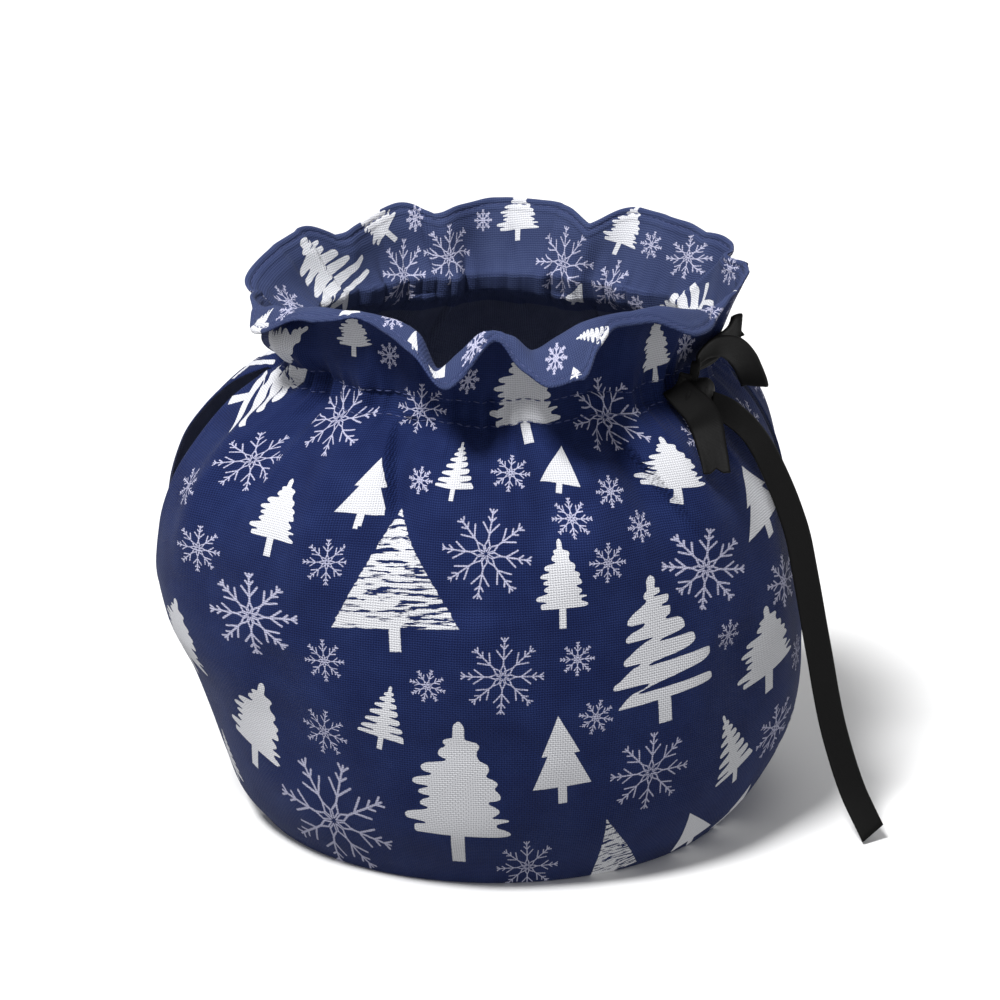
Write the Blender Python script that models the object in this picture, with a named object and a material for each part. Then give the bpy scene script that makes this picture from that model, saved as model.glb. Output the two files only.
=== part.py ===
"""A drawstring tea cosy: two panels of printed canvas sewn together at the sides, drawn in under the belly to a
flat hem, gathered at the neck by a casing, with a ruffled collar above it, and a flat black ribbon tied in a bow at
the handle side. Metres, +Z up. The origin is the middle of the cosy's box, on the surface that the hem rests on."""

import math

import bpy
import numpy as np

MM = 0.001

# Driving dimensions
CLOTH = 1.8 * MM  # canvas, with the thickness of its turned-in hems
GAP = 0.36 * MM  # between neighbouring pieces
HEM_WIDTH = 9.0 * MM  # the flat ring that rests on the table
MIDDLE = (4.0 * MM, 0.6 * MM)  # where the neck's axis stands, so that the box is centred on the origin
RIBBON_WIDTH = 8.2 * MM
RIBBON_THICKNESS = 1.0 * MM

# The mesh: steps along each stretch of the cloth
HEM_STEPS = 1
BODY_STEPS = 17
CASING_STEPS = 2
COLLAR_STEPS = 7
PANEL_COLUMNS = 48
SHARP_EDGE = math.radians(50)

# Angles are in degrees round the neck's axis: 0 right (handle), 90 back, 180 left (spout), 270 front.
RIGHT, LEFT = 0, 180

# The outer face of the body, a row for each section, in millimetres.
SECTION_COLUMNS = ("height", "left", "right", "front", "back")
SECTIONS = (
    (0.0, 74.5, 75.0, 73.0, 72.0),
    (9.0, 81.5, 83.0, 79.0, 78.0),
    (20.0, 85.5, 89.0, 85.0, 84.0),
    (33.0, 89.5, 93.5, 89.0, 88.0),
    (48.0, 94.5, 95.0, 92.0, 91.0),
    (64.0, 101.5, 95.0, 93.5, 93.0),
    (80.0, 104.0, 93.5, 93.0, 93.0),
    (95.0, 103.0, 91.0, 91.5, 91.0),
    (109.0, 99.0, 88.0, 88.0, 88.0),
    (121.0, 91.0, 83.5, 82.5, 82.0),
    (131.0, 81.0, 77.5, 75.5, 75.0),
    (138.0, 70.5, 71.0, 67.5, 68.0),
    (142.5, 64.5, 67.0, 62.5, 63.0),
)
# The casing ends here, and the collar starts.
COLLAR_FOOT = (148.0, 62.5, 66.0, 60.5, 61.5)

COLLAR_FLARE = 0.8  # below 1 the collar opens out most at its foot
COLLAR_RISE = 1.2  # above 1 it rises most at its foot

# The collar's rim, a row for each crest, slope or pinch of the ruffle, in degrees and millimetres.
FLUTE_COLUMNS = ("angle", "radius", "height")
FLUTES = (
    (1, 77.0, 170.5),
    (12, 73.5, 169.0),
    (21, 77.5, 169.5),
    (34, 75.0, 170.0),
    (52, 75.0, 170.5),
    (64, 68.5, 166.0),
    (77, 75.5, 168.5),
    (90, 76.0, 169.0),
    (104, 70.0, 166.5),
    (115, 76.0, 168.5),
    (132, 70.0, 165.0),
    (142, 76.0, 167.5),
    (151, 78.0, 164.5),
    (163, 80.5, 161.0),
    (177, 73.0, 163.0),
    (188, 75.0, 163.5),
    (201, 79.0, 160.0),
    (214, 77.0, 168.0),
    (225, 74.5, 170.5),
    (240, 71.5, 171.5),
    (250, 77.0, 168.0),
    (260, 84.0, 159.5),
    (270.5, 71.5, 170.5),
    (281, 84.0, 160.0),
    (287, 84.5, 159.5),
    (293, 77.0, 168.0),
    (300, 71.5, 171.5),
    (308, 73.0, 171.5),
    (318, 79.5, 166.5),
    (330, 77.0, 169.0),
    (346, 76.0, 171.0),
)

# Soft folds in the body, a row for each, in degrees and millimetres. A negative depth is a trough.
FOLD_COLUMNS = ("upper_angle", "lower_angle", "top", "bottom", "half_width", "depth")
FOLDS = (
    (12, 16, 143, 98, 7, 2.4),
    (31, 28, 143, 92, 8, -2.6),
    (50, 47, 143, 100, 7, 2.8),
    (70, 73, 143, 88, 8, -2.4),
    (92, 90, 143, 98, 8, 2.8),
    (111, 113, 143, 92, 7, -2.8),
    (131, 128, 143, 100, 8, 2.6),
    (152, 153, 143, 96, 7, -2.2),
    (205, 203, 143, 84, 7, 3.4),
    (217, 214, 143, 100, 6, -2.8),
    (235, 233, 143, 88, 8, 3.2),
    (247, 250, 143, 104, 5, -3.0),
    (261, 261, 143, 100, 7, 2.2),
    (281, 284, 143, 108, 7, -2.2),
    (299, 308, 143, 98, 6, -3.4),
    (312, 320, 143, 96, 7, 2.4),
    (334, 338, 143, 102, 7, -2.0),
    (289, 290, 122, 96, 9, 1.8),
    (266, 265, 94, 52, 14, 1.4),
    (228, 224, 76, 26, 14, -1.6),
    (320, 324, 76, 30, 14, -1.4),
    (55, 60, 86, 36, 16, -1.4),
    (125, 120, 78, 32, 15, 1.4),
)

# Small gathers of the casing, a row for each wave: count round the neck, phase in degrees, depth in millimetres.
GATHER_COLUMNS = ("count", "phase", "depth")
GATHERS = ((13, 20, 0.9), (19, 75, 0.8), (29, 140, 0.5))
GATHER_REACH = 16.0  # how far below the casing the gathers die out, in millimetres

# The side openings, in degrees and millimetres. The panels meet above and below them.
OPENING_COLUMNS = ("angle", "bottom", "top", "half_width")
OPENINGS = {
    "spout": (LEFT, 66, 139, 17.0),
    "handle": (RIGHT, 54, 141, 9.5),
}
LENS_POWER = 0.8  # 1 makes the opening's edges parabolas, less makes its ends blunter

# The ribbon's middle line, in millimetres from the neck's axis, and the way that its face looks, in degrees:
# heading round the axis, and rise above the horizontal.
RIBBON_COLUMNS = ("x", "y", "z", "heading", "rise")
TAIL_SHORT = (
    (58.7, -45.8, 138.1, 312, 28),
    (60.4, -48.4, 135.2, 310, 32),
    (62.0, -51.0, 131.8, 308, 32),
    (63.8, -54.0, 127.9, 307, 29),
    (65.4, -56.8, 124.0, 306, 26),
)
TAIL_LONG = (
    (65.4, -37.8, 140.9, 314, 26),
    (69.0, -36.8, 138.8, 312, 30),
    (72.6, -36.0, 135.8, 309, 32),
    (76.2, -35.0, 131.2, 305, 28),
    (79.8, -34.0, 124.6, 301, 22),
    (84.2, -33.0, 115.2, 297, 15),
    (88.2, -32.2, 105.0, 294, 12),
    (91.3, -31.6, 95.0, 292, 10),
    (93.3, -31.3, 85.0, 290, 8),
    (95.2, -31.2, 75.0, 289, 6),
    (97.0, -31.2, 65.0, 288, 5),
    (98.9, -31.4, 55.0, 287, 5),
    (100.7, -31.8, 45.0, 286, 6),
    (102.8, -32.6, 35.0, 285, 8),
    (105.6, -34.4, 25.0, 284, 11),
    (109.3, -37.4, 14.5, 283, 16),
    (115.4, -43.0, 2.6, 281, 28),
)
LOOP_UPPER = (
    (62.8, -30.6, 147.6, 334, 0),
    (65.1, -27.2, 149.6, 337, -2),
    (68.8, -21.2, 151.4, 341, -6),
    (72.1, -14.0, 152.6, 346, -15),
    (73.7, -7.8, 153.2, 356, -14),
    (74.3, -4.8, 153.3, 410, 0),
    (73.2, -3.2, 153.1, 470, 10),
    (71.9, -6.4, 152.6, 512, 15),
    (70.6, -13.2, 151.8, 522, 14),
    (67.9, -20.2, 150.4, 519, 10),
    (64.0, -26.4, 148.4, 515, 5),
    (61.8, -29.4, 146.8, 514, 2),
)
LOOP_LOWER = (
    (63.4, -35.1, 147.9, 331, 0),
    (66.2, -32.8, 151.8, 326, 14),
    (68.8, -31.2, 154.6, 318, 28),
    (72.2, -27.4, 154.0, 310, 34),
    (75.0, -21.8, 151.0, 305, 32),
    (77.2, -16.2, 146.4, 304, 26),
    (78.6, -12.4, 141.0, 306, 18),
    (79.6, -10.8, 136.4, 312, 10),
    (80.0, -9.8, 134.7, 360, 0),
    (79.0, -9.4, 135.5, 450, -6),
    (76.8, -11.0, 139.0, 486, -10),
    (74.4, -14.2, 143.6, 485, -12),
    (72.6, -19.2, 147.4, 485, -12),
    (69.9, -25.5, 149.2, 490, -6),
    (66.5, -29.5, 148.7, 500, -6),
    (64.4, -31.4, 147.6, 508, 0),
)
KNOT_MIDDLE = (59.4, -41.0, 143.1)
KNOT_SIZE = (8.0, 17.0, 11.0)  # out from the neck, round it, and upright
KNOT_TURN = -33.5  # degrees round the vertical
KNOT_RINGS, KNOT_SIDES = 10, 20
KNOT_ROUNDNESS = 0.7  # 1 makes it an ellipsoid, less fills its corners out
KNOT_GROOVE = 0.16  # how deep the edge of the ribbon's last turn cuts into it, as a share of its radius
KNOT_GROOVE_WIDTH = 0.35

STEPS_PER_RIBBON_ROW = 2
RIBBON_STEPS_ACROSS = 2

# Colours of the materials, linear red, green and blue
NAVY = (0.012, 0.026, 0.13)
BLACK = (0.008, 0.008, 0.009)


def columns(table, names):
    """A short table's columns by name."""
    return {name: np.array([row[i] for row in table], float) for i, name in enumerate(names)}


def monotone(knots, values, at):
    """A smooth curve through the values that doesn't overshoot them."""
    step = np.diff(knots)
    slope = np.diff(values) / step
    together = slope[1:] * slope[:-1]
    total = np.where(together > 0, slope[1:] + slope[:-1], 1.0)
    tangent = np.concatenate([slope[:1], np.where(together > 0, 2 * together / total, 0.0), slope[-1:]])
    i = np.clip(np.searchsorted(knots, at, side="right") - 1, 0, len(step) - 1)
    t = np.clip((at - knots[i]) / step[i], 0.0, 1.0)
    rise = values[i] + step[i] * tangent[i] * t * (1 - t) ** 2 - step[i] * tangent[i + 1] * t**2 * (1 - t)
    return rise + (values[i + 1] - values[i]) * t**2 * (3 - 2 * t)


def round_the_axis(angles, values, at):
    """The same curve, closed round the axis."""
    knots = np.concatenate([angles - 360, angles, angles + 360])
    return monotone(knots, np.tile(values, 3), at % 360)


def four_way(sides, angle):
    """A radius that eases between its values to the left, right, front and back."""
    across = np.cos(np.radians(angle))
    along = np.sin(np.radians(angle))
    level = np.where(across > 0, sides["right"], sides["left"]) * across**2
    return level + np.where(along > 0, sides["back"], sides["front"]) * along**2


def fold_relief(angle, height, radius):
    """How far the folds and gathers stand out of the body at an angle and height, in millimetres."""
    relief = np.zeros(np.broadcast(angle, height).shape)
    for row in FOLDS:
        fold = dict(zip(FOLD_COLUMNS, row))
        along = np.clip((fold["top"] - height) / (fold["top"] - fold["bottom"]), 0, 1)
        middle = fold["upper_angle"] + (fold["lower_angle"] - fold["upper_angle"]) * along
        off = np.radians((angle - middle + 180) % 360 - 180) * radius
        fade = np.sin(np.pi * np.sqrt(along))
        spread = fold["half_width"] * (0.7 + 0.6 * along)
        relief = relief + fold["depth"] * fade * np.exp(-((off / spread) ** 2))
    top = SECTIONS[-1][0]
    reach = np.clip(1 - (top - height) / GATHER_REACH, 0, 1)
    for row in GATHERS:
        wave = dict(zip(GATHER_COLUMNS, row))
        relief = relief + wave["depth"] * reach**2 * np.sin(np.radians(wave["count"] * angle + wave["phase"]))
    return relief


def body_rows():
    """The body's sections and the casing, each a height and four radii, from the hem's corner upwards."""
    table = columns(SECTIONS + (COLLAR_FOOT,), SECTION_COLUMNS)
    station = np.arange(len(SECTIONS) + 1.0)
    last = len(SECTIONS) - 1
    body = np.linspace(0, last, BODY_STEPS + 1)
    casing = np.linspace(last, last + 1, CASING_STEPS + 1)[1:]
    at = np.concatenate([body, casing])
    return {name: monotone(station, table[name], at) for name in SECTION_COLUMNS}


def wall_points(angle_of_row):
    """The outer face of the cloth, rows from the hem's inner edge to the collar's rim, in millimetres."""
    rows = body_rows()
    points = []
    corner = {name: rows[name][0] for name in SECTION_COLUMNS}
    for i in range(HEM_STEPS):
        angle = angle_of_row(0.0, corner)
        inset = HEM_WIDTH / MM * (1 - i / HEM_STEPS)
        points.append(placed(angle, four_way(corner, angle) - inset, 0.0))
    for i in range(len(rows["height"])):
        section = {name: rows[name][i] for name in SECTION_COLUMNS}
        angle = angle_of_row(section["height"], section)
        radius = four_way(section, angle)
        relief = fold_relief(angle, section["height"], radius) if i else 0.0
        points.append(placed(angle, radius + relief, section["height"]))
    foot = dict(zip(SECTION_COLUMNS, COLLAR_FOOT))
    flutes = columns(FLUTES, FLUTE_COLUMNS)
    angle = angle_of_row(foot["height"], foot)
    foot_radius = four_way(foot, angle) + fold_relief(angle, SECTIONS[-1][0], four_way(foot, angle))
    rim_radius = round_the_axis(flutes["angle"], flutes["radius"], angle)
    rim_height = round_the_axis(flutes["angle"], flutes["height"], angle)
    for i in range(1, COLLAR_STEPS + 1):
        t = i / COLLAR_STEPS
        radius = foot_radius + (rim_radius - foot_radius) * t**COLLAR_FLARE
        height = foot["height"] + (rim_height - foot["height"]) * (1 - (1 - t) ** COLLAR_RISE)
        points.append(placed(angle, radius, height))
    return np.array(points)


def placed(angle, radius, height):
    """Points at an angle, radius and height round the neck's axis."""
    turn = np.radians(angle)
    return np.stack([radius * np.cos(turn), radius * np.sin(turn), np.broadcast_to(height, turn.shape)], axis=-1)


def opening_half_width(opening, height):
    """Half the space between the two panels' edges, in millimetres: a lens at the opening, else the seam's gap."""
    middle = (opening["bottom"] + opening["top"]) / 2
    along = (height - middle) / (opening["top"] - middle)
    return max(GAP / MM / 2, opening["half_width"] * max(0.0, 1 - along * along) ** LENS_POWER)


def panel_angles(from_side, to_side):
    """A function that gives a row's angles, from one side opening to the other, and one more step past each edge,
    which only sets the slope there."""

    def angles(height, section):
        start = opening_edge(from_side, height, section, 1)
        end = opening_edge(to_side, height, section, -1)
        end += 360 if end < start else 0
        return start + (end - start) * np.arange(-1, PANEL_COLUMNS + 2) / PANEL_COLUMNS

    return angles


def opening_edge(side, height, section, way):
    """The angle of a panel's edge at an opening, on the side that the panel is."""
    opening = dict(zip(OPENING_COLUMNS, OPENINGS[side]))
    radius = float(four_way(section, opening["angle"]))
    half_turn = math.degrees(opening_half_width(opening, height) / radius)
    return opening["angle"] + way * half_turn


def outward_normals(points):
    """Unit normals of a grid of points, away from the neck's axis on the body."""
    along = np.gradient(points, axis=1)
    up = np.gradient(points, axis=0)
    normal = np.cross(along, up)
    normal /= np.linalg.norm(normal, axis=-1, keepdims=True)
    normal[:HEM_STEPS] = (0, 0, -1)
    return normal


def sheet_faces(rows, across):
    """The faces of a closed sheet: an outer grid, an inner grid after it, and the rim between them."""
    outer = np.arange(rows * across).reshape(rows, across)
    inner = outer + rows * across
    faces = []
    for i in range(rows - 1):
        for j in range(across - 1):
            faces.append((outer[i, j], outer[i, j + 1], outer[i + 1, j + 1], outer[i + 1, j]))
            faces.append((inner[i, j], inner[i + 1, j], inner[i + 1, j + 1], inner[i, j + 1]))
    for j in range(across - 1):
        faces.append((outer[0, j], inner[0, j], inner[0, j + 1], outer[0, j + 1]))
        faces.append((outer[-1, j], outer[-1, j + 1], inner[-1, j + 1], inner[-1, j]))
    for i in range(rows - 1):
        faces.append((outer[i, 0], outer[i + 1, 0], inner[i + 1, 0], inner[i, 0]))
        faces.append((outer[i, -1], inner[i, -1], inner[i + 1, -1], outer[i + 1, -1]))
    return [[int(corner) for corner in face] for face in faces]


def cloth_material(name, colour, roughness):
    """A plain cloth surface."""
    material = bpy.data.materials.new(name)
    material.use_nodes = True
    shader = material.node_tree.nodes["Principled BSDF"]
    shader.inputs["Base Color"].default_value = (*colour, 1.0)
    shader.inputs["Roughness"].default_value = roughness
    shader.inputs["Metallic"].default_value = 0.0
    return material


def add_object(name, points, faces, material):
    """A mesh object from points in millimetres round the neck's axis."""
    mesh = bpy.data.meshes.new(name)
    moved = points.reshape(-1, 3) * MM + np.array([*MIDDLE, 0.0])
    mesh.from_pydata(moved.tolist(), [], faces)
    mesh.materials.append(material)
    mesh.validate()
    mesh.shade_smooth()
    mesh.set_sharp_from_angle(angle=SHARP_EDGE)
    obj = bpy.data.objects.new(name, mesh)
    bpy.context.scene.collection.objects.link(obj)
    return obj


def make_panel(name, from_side, to_side, material):
    """One panel of the cosy, from the hem to the collar's rim."""
    wide = wall_points(panel_angles(from_side, to_side))
    inward = outward_normals(wide) * -CLOTH / MM
    outer = wide[:, 1:-1]
    inner = (wide + inward)[:, 1:-1]
    rows, across = outer.shape[:2]
    return add_object(name, np.concatenate([outer, inner]), sheet_faces(rows, across), material)


def ribbon_line(table):
    """A ribbon's middle line and its face directions, smooth through the table's rows."""
    rows = columns(table, RIBBON_COLUMNS)
    station = np.arange(len(table), dtype=float)
    at = np.linspace(0, len(table) - 1, (len(table) - 1) * STEPS_PER_RIBBON_ROW + 1)
    line = np.stack([monotone(station, rows[axis], at) for axis in "xyz"], axis=-1)
    heading = np.radians(monotone(station, rows["heading"], at))
    rise = np.radians(monotone(station, rows["rise"], at))
    face = np.stack([np.cos(rise) * np.cos(heading), np.cos(rise) * np.sin(heading), np.sin(rise)], axis=-1)
    return line, face


def make_ribbon(name, table, material):
    """A flat strip along its middle line."""
    line, face = ribbon_line(table)
    along = np.gradient(line, axis=0)
    along /= np.linalg.norm(along, axis=-1, keepdims=True)
    side = np.cross(along, face)
    side /= np.linalg.norm(side, axis=-1, keepdims=True)
    face = np.cross(side, along)
    half = RIBBON_WIDTH / MM / 2
    across = RIBBON_STEPS_ACROSS
    spread = np.linspace(-half, half, across + 1)
    outer = line[:, None] + side[:, None] * spread[:, None] + face[:, None] * RIBBON_THICKNESS / MM / 2
    inner = outer - face[:, None] * RIBBON_THICKNESS / MM
    return add_object(name, np.concatenate([outer, inner]), sheet_faces(len(line), across + 1), material)


def make_knot(material):
    """The knot: a rounded lump with the groove of the ribbon's last turn across it."""
    rings, around = KNOT_RINGS, KNOT_SIDES
    points = []
    for i in range(1, rings):
        rise = math.pi * i / rings - math.pi / 2
        for j in range(around):
            turn = 2 * math.pi * j / around
            nearness = math.exp(-((math.sin(turn + rise) / KNOT_GROOVE_WIDTH) ** 2))
            ring = math.cos(rise) ** KNOT_ROUNDNESS * (1 - KNOT_GROOVE * nearness * math.cos(rise))
            points.append((ring * math.cos(turn), ring * math.sin(turn), math.sin(rise)))
    points += [(0, 0, -1), (0, 0, 1)]
    low, high = len(points) - 2, len(points) - 1
    faces = []
    for j in range(around):
        k = (j + 1) % around
        faces.append((low, k, j))
        for i in range(rings - 2):
            faces.append((i * around + j, i * around + k, (i + 1) * around + k, (i + 1) * around + j))
        faces.append((high, (rings - 2) * around + j, (rings - 2) * around + k))
    turn = math.radians(KNOT_TURN)
    turned = np.array(points) * np.array(KNOT_SIZE) / 2
    swing = np.array([[math.cos(turn), -math.sin(turn), 0], [math.sin(turn), math.cos(turn), 0], [0, 0, 1]])
    return add_object("ribbon_knot", turned @ swing.T + np.array(KNOT_MIDDLE), faces, material)


def clear_scene():
    """Starts from an empty scene."""
    for obj in list(bpy.data.objects):
        bpy.data.objects.remove(obj)


def main():
    clear_scene()
    canvas = cloth_material("printed_canvas", NAVY, 0.85)
    ribbon = cloth_material("black_ribbon", BLACK, 0.7)
    make_panel("front_panel", "spout", "handle", canvas)
    make_panel("back_panel", "handle", "spout", canvas)
    make_knot(ribbon)
    make_ribbon("ribbon_loop_upper", LOOP_UPPER, ribbon)
    make_ribbon("ribbon_loop_lower", LOOP_LOWER, ribbon)
    make_ribbon("ribbon_tail_short", TAIL_SHORT, ribbon)
    make_ribbon("ribbon_tail_long", TAIL_LONG, ribbon)


main()
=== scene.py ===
"""Looks for a drawstring tea cosy: printed canvas panels with sewn seams and stitched hems, a gathered neck with a
ruffled collar, and a flat black ribbon tied in a bow. Lengths are in millimetres round the neck's axis until a mesh
is made, and in metres there."""

import math

import bpy
import numpy as np
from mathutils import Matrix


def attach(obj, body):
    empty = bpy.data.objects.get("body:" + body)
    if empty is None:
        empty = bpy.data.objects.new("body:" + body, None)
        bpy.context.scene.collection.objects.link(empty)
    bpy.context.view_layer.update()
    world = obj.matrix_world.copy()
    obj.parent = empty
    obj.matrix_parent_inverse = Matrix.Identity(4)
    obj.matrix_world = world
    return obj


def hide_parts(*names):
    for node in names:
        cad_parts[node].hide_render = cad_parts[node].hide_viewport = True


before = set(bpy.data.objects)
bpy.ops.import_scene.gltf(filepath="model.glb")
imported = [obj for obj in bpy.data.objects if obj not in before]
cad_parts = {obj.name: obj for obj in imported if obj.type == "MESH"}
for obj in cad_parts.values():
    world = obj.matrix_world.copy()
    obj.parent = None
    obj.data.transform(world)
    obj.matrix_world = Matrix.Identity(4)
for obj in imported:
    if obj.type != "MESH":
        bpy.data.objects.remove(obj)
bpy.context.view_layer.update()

MM = 0.001
MIDDLE = (4.0 * MM, 0.6 * MM)  # where the neck's axis stands

# ---------------------------------------------------------------- camera
CAMERA_DISTANCE = 1.5
CAMERA_ELEVATION = math.radians(20.5)
CAMERA_TARGET = (MIDDLE[0] + 1.5 * MM, MIDDLE[1], 95.3 * MM)
SENSOR = 36.0
PIXELS_PER_MM = 3.257  # at the target, in the photograph's frame of 1000 pixels
LENS = SENSOR * PIXELS_PER_MM * CAMERA_DISTANCE / MM / 1000


def make_camera():
    data = bpy.data.cameras.new("camera")
    data.sensor_width = SENSOR
    data.lens = LENS
    data.clip_start = 0.05
    camera = bpy.data.objects.new("camera", data)
    back = CAMERA_DISTANCE * math.cos(CAMERA_ELEVATION)
    up = CAMERA_DISTANCE * math.sin(CAMERA_ELEVATION)
    camera.location = (CAMERA_TARGET[0], CAMERA_TARGET[1] - back, CAMERA_TARGET[2] + up)
    camera.rotation_euler = (math.pi / 2 - CAMERA_ELEVATION, 0, 0)
    bpy.context.scene.collection.objects.link(camera)
    bpy.context.scene.camera = camera


make_camera()

# ---------------------------------------------------------------- the cloth's form, as in the part's source
RIGHT, LEFT = 0, 180
HEM_WIDTH = 9.0
SECTION_COLUMNS = ("height", "left", "right", "front", "back")
SECTIONS = (
    (0.0, 74.5, 75.0, 73.0, 72.0), (9.0, 81.5, 83.0, 79.0, 78.0), (20.0, 85.5, 89.0, 85.0, 84.0),
    (33.0, 89.5, 93.5, 89.0, 88.0), (48.0, 94.5, 95.0, 92.0, 91.0), (64.0, 101.5, 95.0, 93.5, 93.0),
    (80.0, 104.0, 93.5, 93.0, 93.0), (95.0, 103.0, 91.0, 91.5, 91.0), (109.0, 99.0, 88.0, 88.0, 88.0),
    (121.0, 91.0, 83.5, 82.5, 82.0), (131.0, 81.0, 77.5, 75.5, 75.0), (138.0, 70.5, 71.0, 67.5, 68.0),
    (142.5, 64.5, 67.0, 62.5, 63.0),
)
COLLAR_FOOT = (148.0, 62.5, 66.0, 60.5, 61.5)
COLLAR_FLARE = 0.8
COLLAR_RISE = 1.2
# The collar's rim: angle, radius, height
FLUTES = (
    (1, 77.0, 170.5), (12, 73.5, 169.0), (21, 77.5, 169.5), (34, 75.0, 170.0), (52, 75.0, 170.5), (64, 68.5, 166.0),
    (77, 75.5, 168.5), (90, 76.0, 169.0), (104, 70.0, 166.5), (115, 76.0, 168.5), (132, 70.0, 165.0),
    (142, 76.0, 167.5), (151, 78.0, 164.5), (163, 80.5, 161.0), (177, 73.0, 163.0), (188, 75.0, 163.5),
    (201, 79.0, 160.0), (214, 77.0, 168.0), (225, 74.5, 170.5), (240, 71.5, 171.5), (250, 77.0, 168.0),
    (260, 84.0, 159.5), (270.5, 71.5, 170.5), (281, 84.0, 160.0), (287, 84.5, 159.5), (293, 77.0, 168.0),
    (300, 71.5, 171.5), (308, 73.0, 171.5), (318, 79.5, 166.5), (330, 77.0, 169.0), (346, 76.0, 171.0),
)
FOLD_GAIN = 1.35  # the scene's folds are this much deeper than the solids' on the body
FOLD_EASE = 6.0  # over this height they go back to the solids' depth, below the neck
FOLD_SPREAD = (0.7, 0.6)  # a fold's width at its top as a share of its own, and what it gains on its way down
# A row for each fold: angle at its top and bottom, the heights of both, half width, depth
FOLDS = (
    (12, 16, 143, 98, 7, 2.4), (31, 28, 143, 92, 8, -2.6), (50, 47, 143, 100, 7, 2.8), (70, 73, 143, 88, 8, -2.4),
    (92, 90, 143, 98, 8, 2.8), (111, 113, 143, 92, 7, -2.8), (131, 128, 143, 100, 8, 2.6),
    (152, 153, 143, 96, 7, -2.2), (205, 203, 143, 84, 7, 3.4), (217, 214, 143, 100, 6, -2.8),
    (235, 233, 143, 88, 8, 3.2), (247, 250, 143, 104, 5, -3.0), (261, 261, 143, 100, 7, 2.2),
    (281, 284, 143, 108, 7, -2.2), (299, 308, 143, 98, 6, -3.4), (312, 320, 143, 96, 7, 2.4),
    (334, 338, 143, 102, 7, -2.0), (289, 290, 122, 96, 9, 1.8), (266, 265, 94, 52, 14, 1.4),
    (228, 224, 76, 26, 14, -1.6), (320, 324, 76, 30, 14, -1.4), (55, 60, 86, 36, 16, -1.4),
    (125, 120, 78, 32, 15, 1.4),
)
GATHERS = ((13, 20, 0.9), (19, 75, 0.8), (29, 140, 0.5))  # count round the neck, phase in degrees, depth
GATHER_REACH = 16.0  # how far below the neck they go
NECK = SECTIONS[-1][0]
# Angle, bottom, top, half width
OPENINGS = {"spout": (LEFT, 66, 139, 17.0), "handle": (RIGHT, 54, 141, 9.5)}
LENS_POWER = 0.8  # how round an opening's ends are

# ---------------------------------------------------------------- the finer form that only the scene has
SEAM_GAP = 0.12  # between the sewn edges
SEAM_DEPTH, SEAM_REACH = 1.1, 1.6  # how far a seam is drawn in, and how far from it the cloth follows
SEWN_BELOW = 1.5  # an opening narrower than this eases into the seam
CLOTH = 0.7  # thickness of one layer
HEM_DOUBLING = 0.45  # how much thicker a turned hem is
HEM_FOLD = 4.2  # how wide a turned hem is
STITCH_INSET = 0.9  # from a hem's inner edge to its stitches
EDGE_ROUND = 0.9  # how far in from an edge the cloth is rounded
NO_EDGE = 99.0  # the distance to an edge where there is none
INNER_STITCHES = 2.2  # where the collar's hem is stitched, on its inner face
COLUMNS = 280  # of quads across a panel
HEM_ROWS, BODY_ROWS, CASING_ROWS, COLLAR_ROWS = 4, 88, 8, 56
FACING_ROWS = 9  # how many rows the collar's printed inner face goes on below the casing
RIM_CROWDING = 1.35  # the collar's rows stand closer together towards its rim

# Pleats: on one side of the line the cloth stands up, on the other it is tucked in. A row for each line down the
# body: its angle at the top and bottom, its heights, the half width of the pleat, its depth (negative: the ridge is
# on the side of the smaller angle), and how sharp the step between the two is.
PLEATS = (
    (242.5, 251.5, 141, 112, 4.6, -3.0, 0.5), (300.5, 313.0, 141, 108, 5.5, 2.8, 0.45),
    (222.0, 219.0, 140, 116, 4.0, -1.4, 1.0), (209.0, 203.0, 140, 112, 4.0, 1.2, 1.2),
    (274.0, 277.0, 139, 118, 4.0, 1.0, 1.2), (290.0, 294.0, 139, 122, 3.5, -1.0, 1.0),
    (325.0, 333.0, 140, 116, 4.5, 1.3, 0.9), (18.0, 24.0, 140, 112, 4.5, 1.6, 0.8),
    (41.0, 38.0, 140, 116, 4.0, -1.5, 0.8), (62.0, 66.0, 140, 110, 4.5, 1.8, 0.7),
    (83.0, 80.0, 140, 118, 4.0, -1.2, 1.0), (102.0, 106.0, 140, 112, 4.5, 1.7, 0.7),
    (122.0, 118.0, 140, 114, 4.0, -1.5, 0.8), (143.0, 146.0, 140, 116, 4.5, 1.4, 0.9),
    (259.0, 256.0, 139, 124, 3.2, -0.9, 0.9),
)
PLEAT_SPREAD = (0.6, 0.8)  # like FOLD_SPREAD, for the pleat's half width
PLEAT_STEP = (0.6, 1.6)  # the same for its step
# Tight puckers that the ribbon draws into the neck: count round the neck, phase in degrees, depth
PUCKERS = ((41, 10, 0.42), (57, 200, 0.34), (73, 95, 0.26))
PUFFS = ((43, 60, 0.5), (31, 20, 0.4))  # rounder ones, with narrow creases between
PUCKER_ABOVE, PUCKER_BELOW = 10.0, 11.0  # how far they reach from the casing
PUCKER_DRIFT = (0.5, 7, 30)  # how much stronger they are in places: share, count, phase
# Slow unevenness of the cloth: waves round the body, waves up it, phases in degrees, depth
SWELLS = (
    (5, 0.035, 40, 10, 0.35), (8, -0.05, 160, 75, 0.3), (11, 0.085, 250, 130, 0.22), (17, -0.11, 15, 300, 0.12),
)
SWELL_START = (4, 12)  # they begin at this height and are whole this much higher
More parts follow.
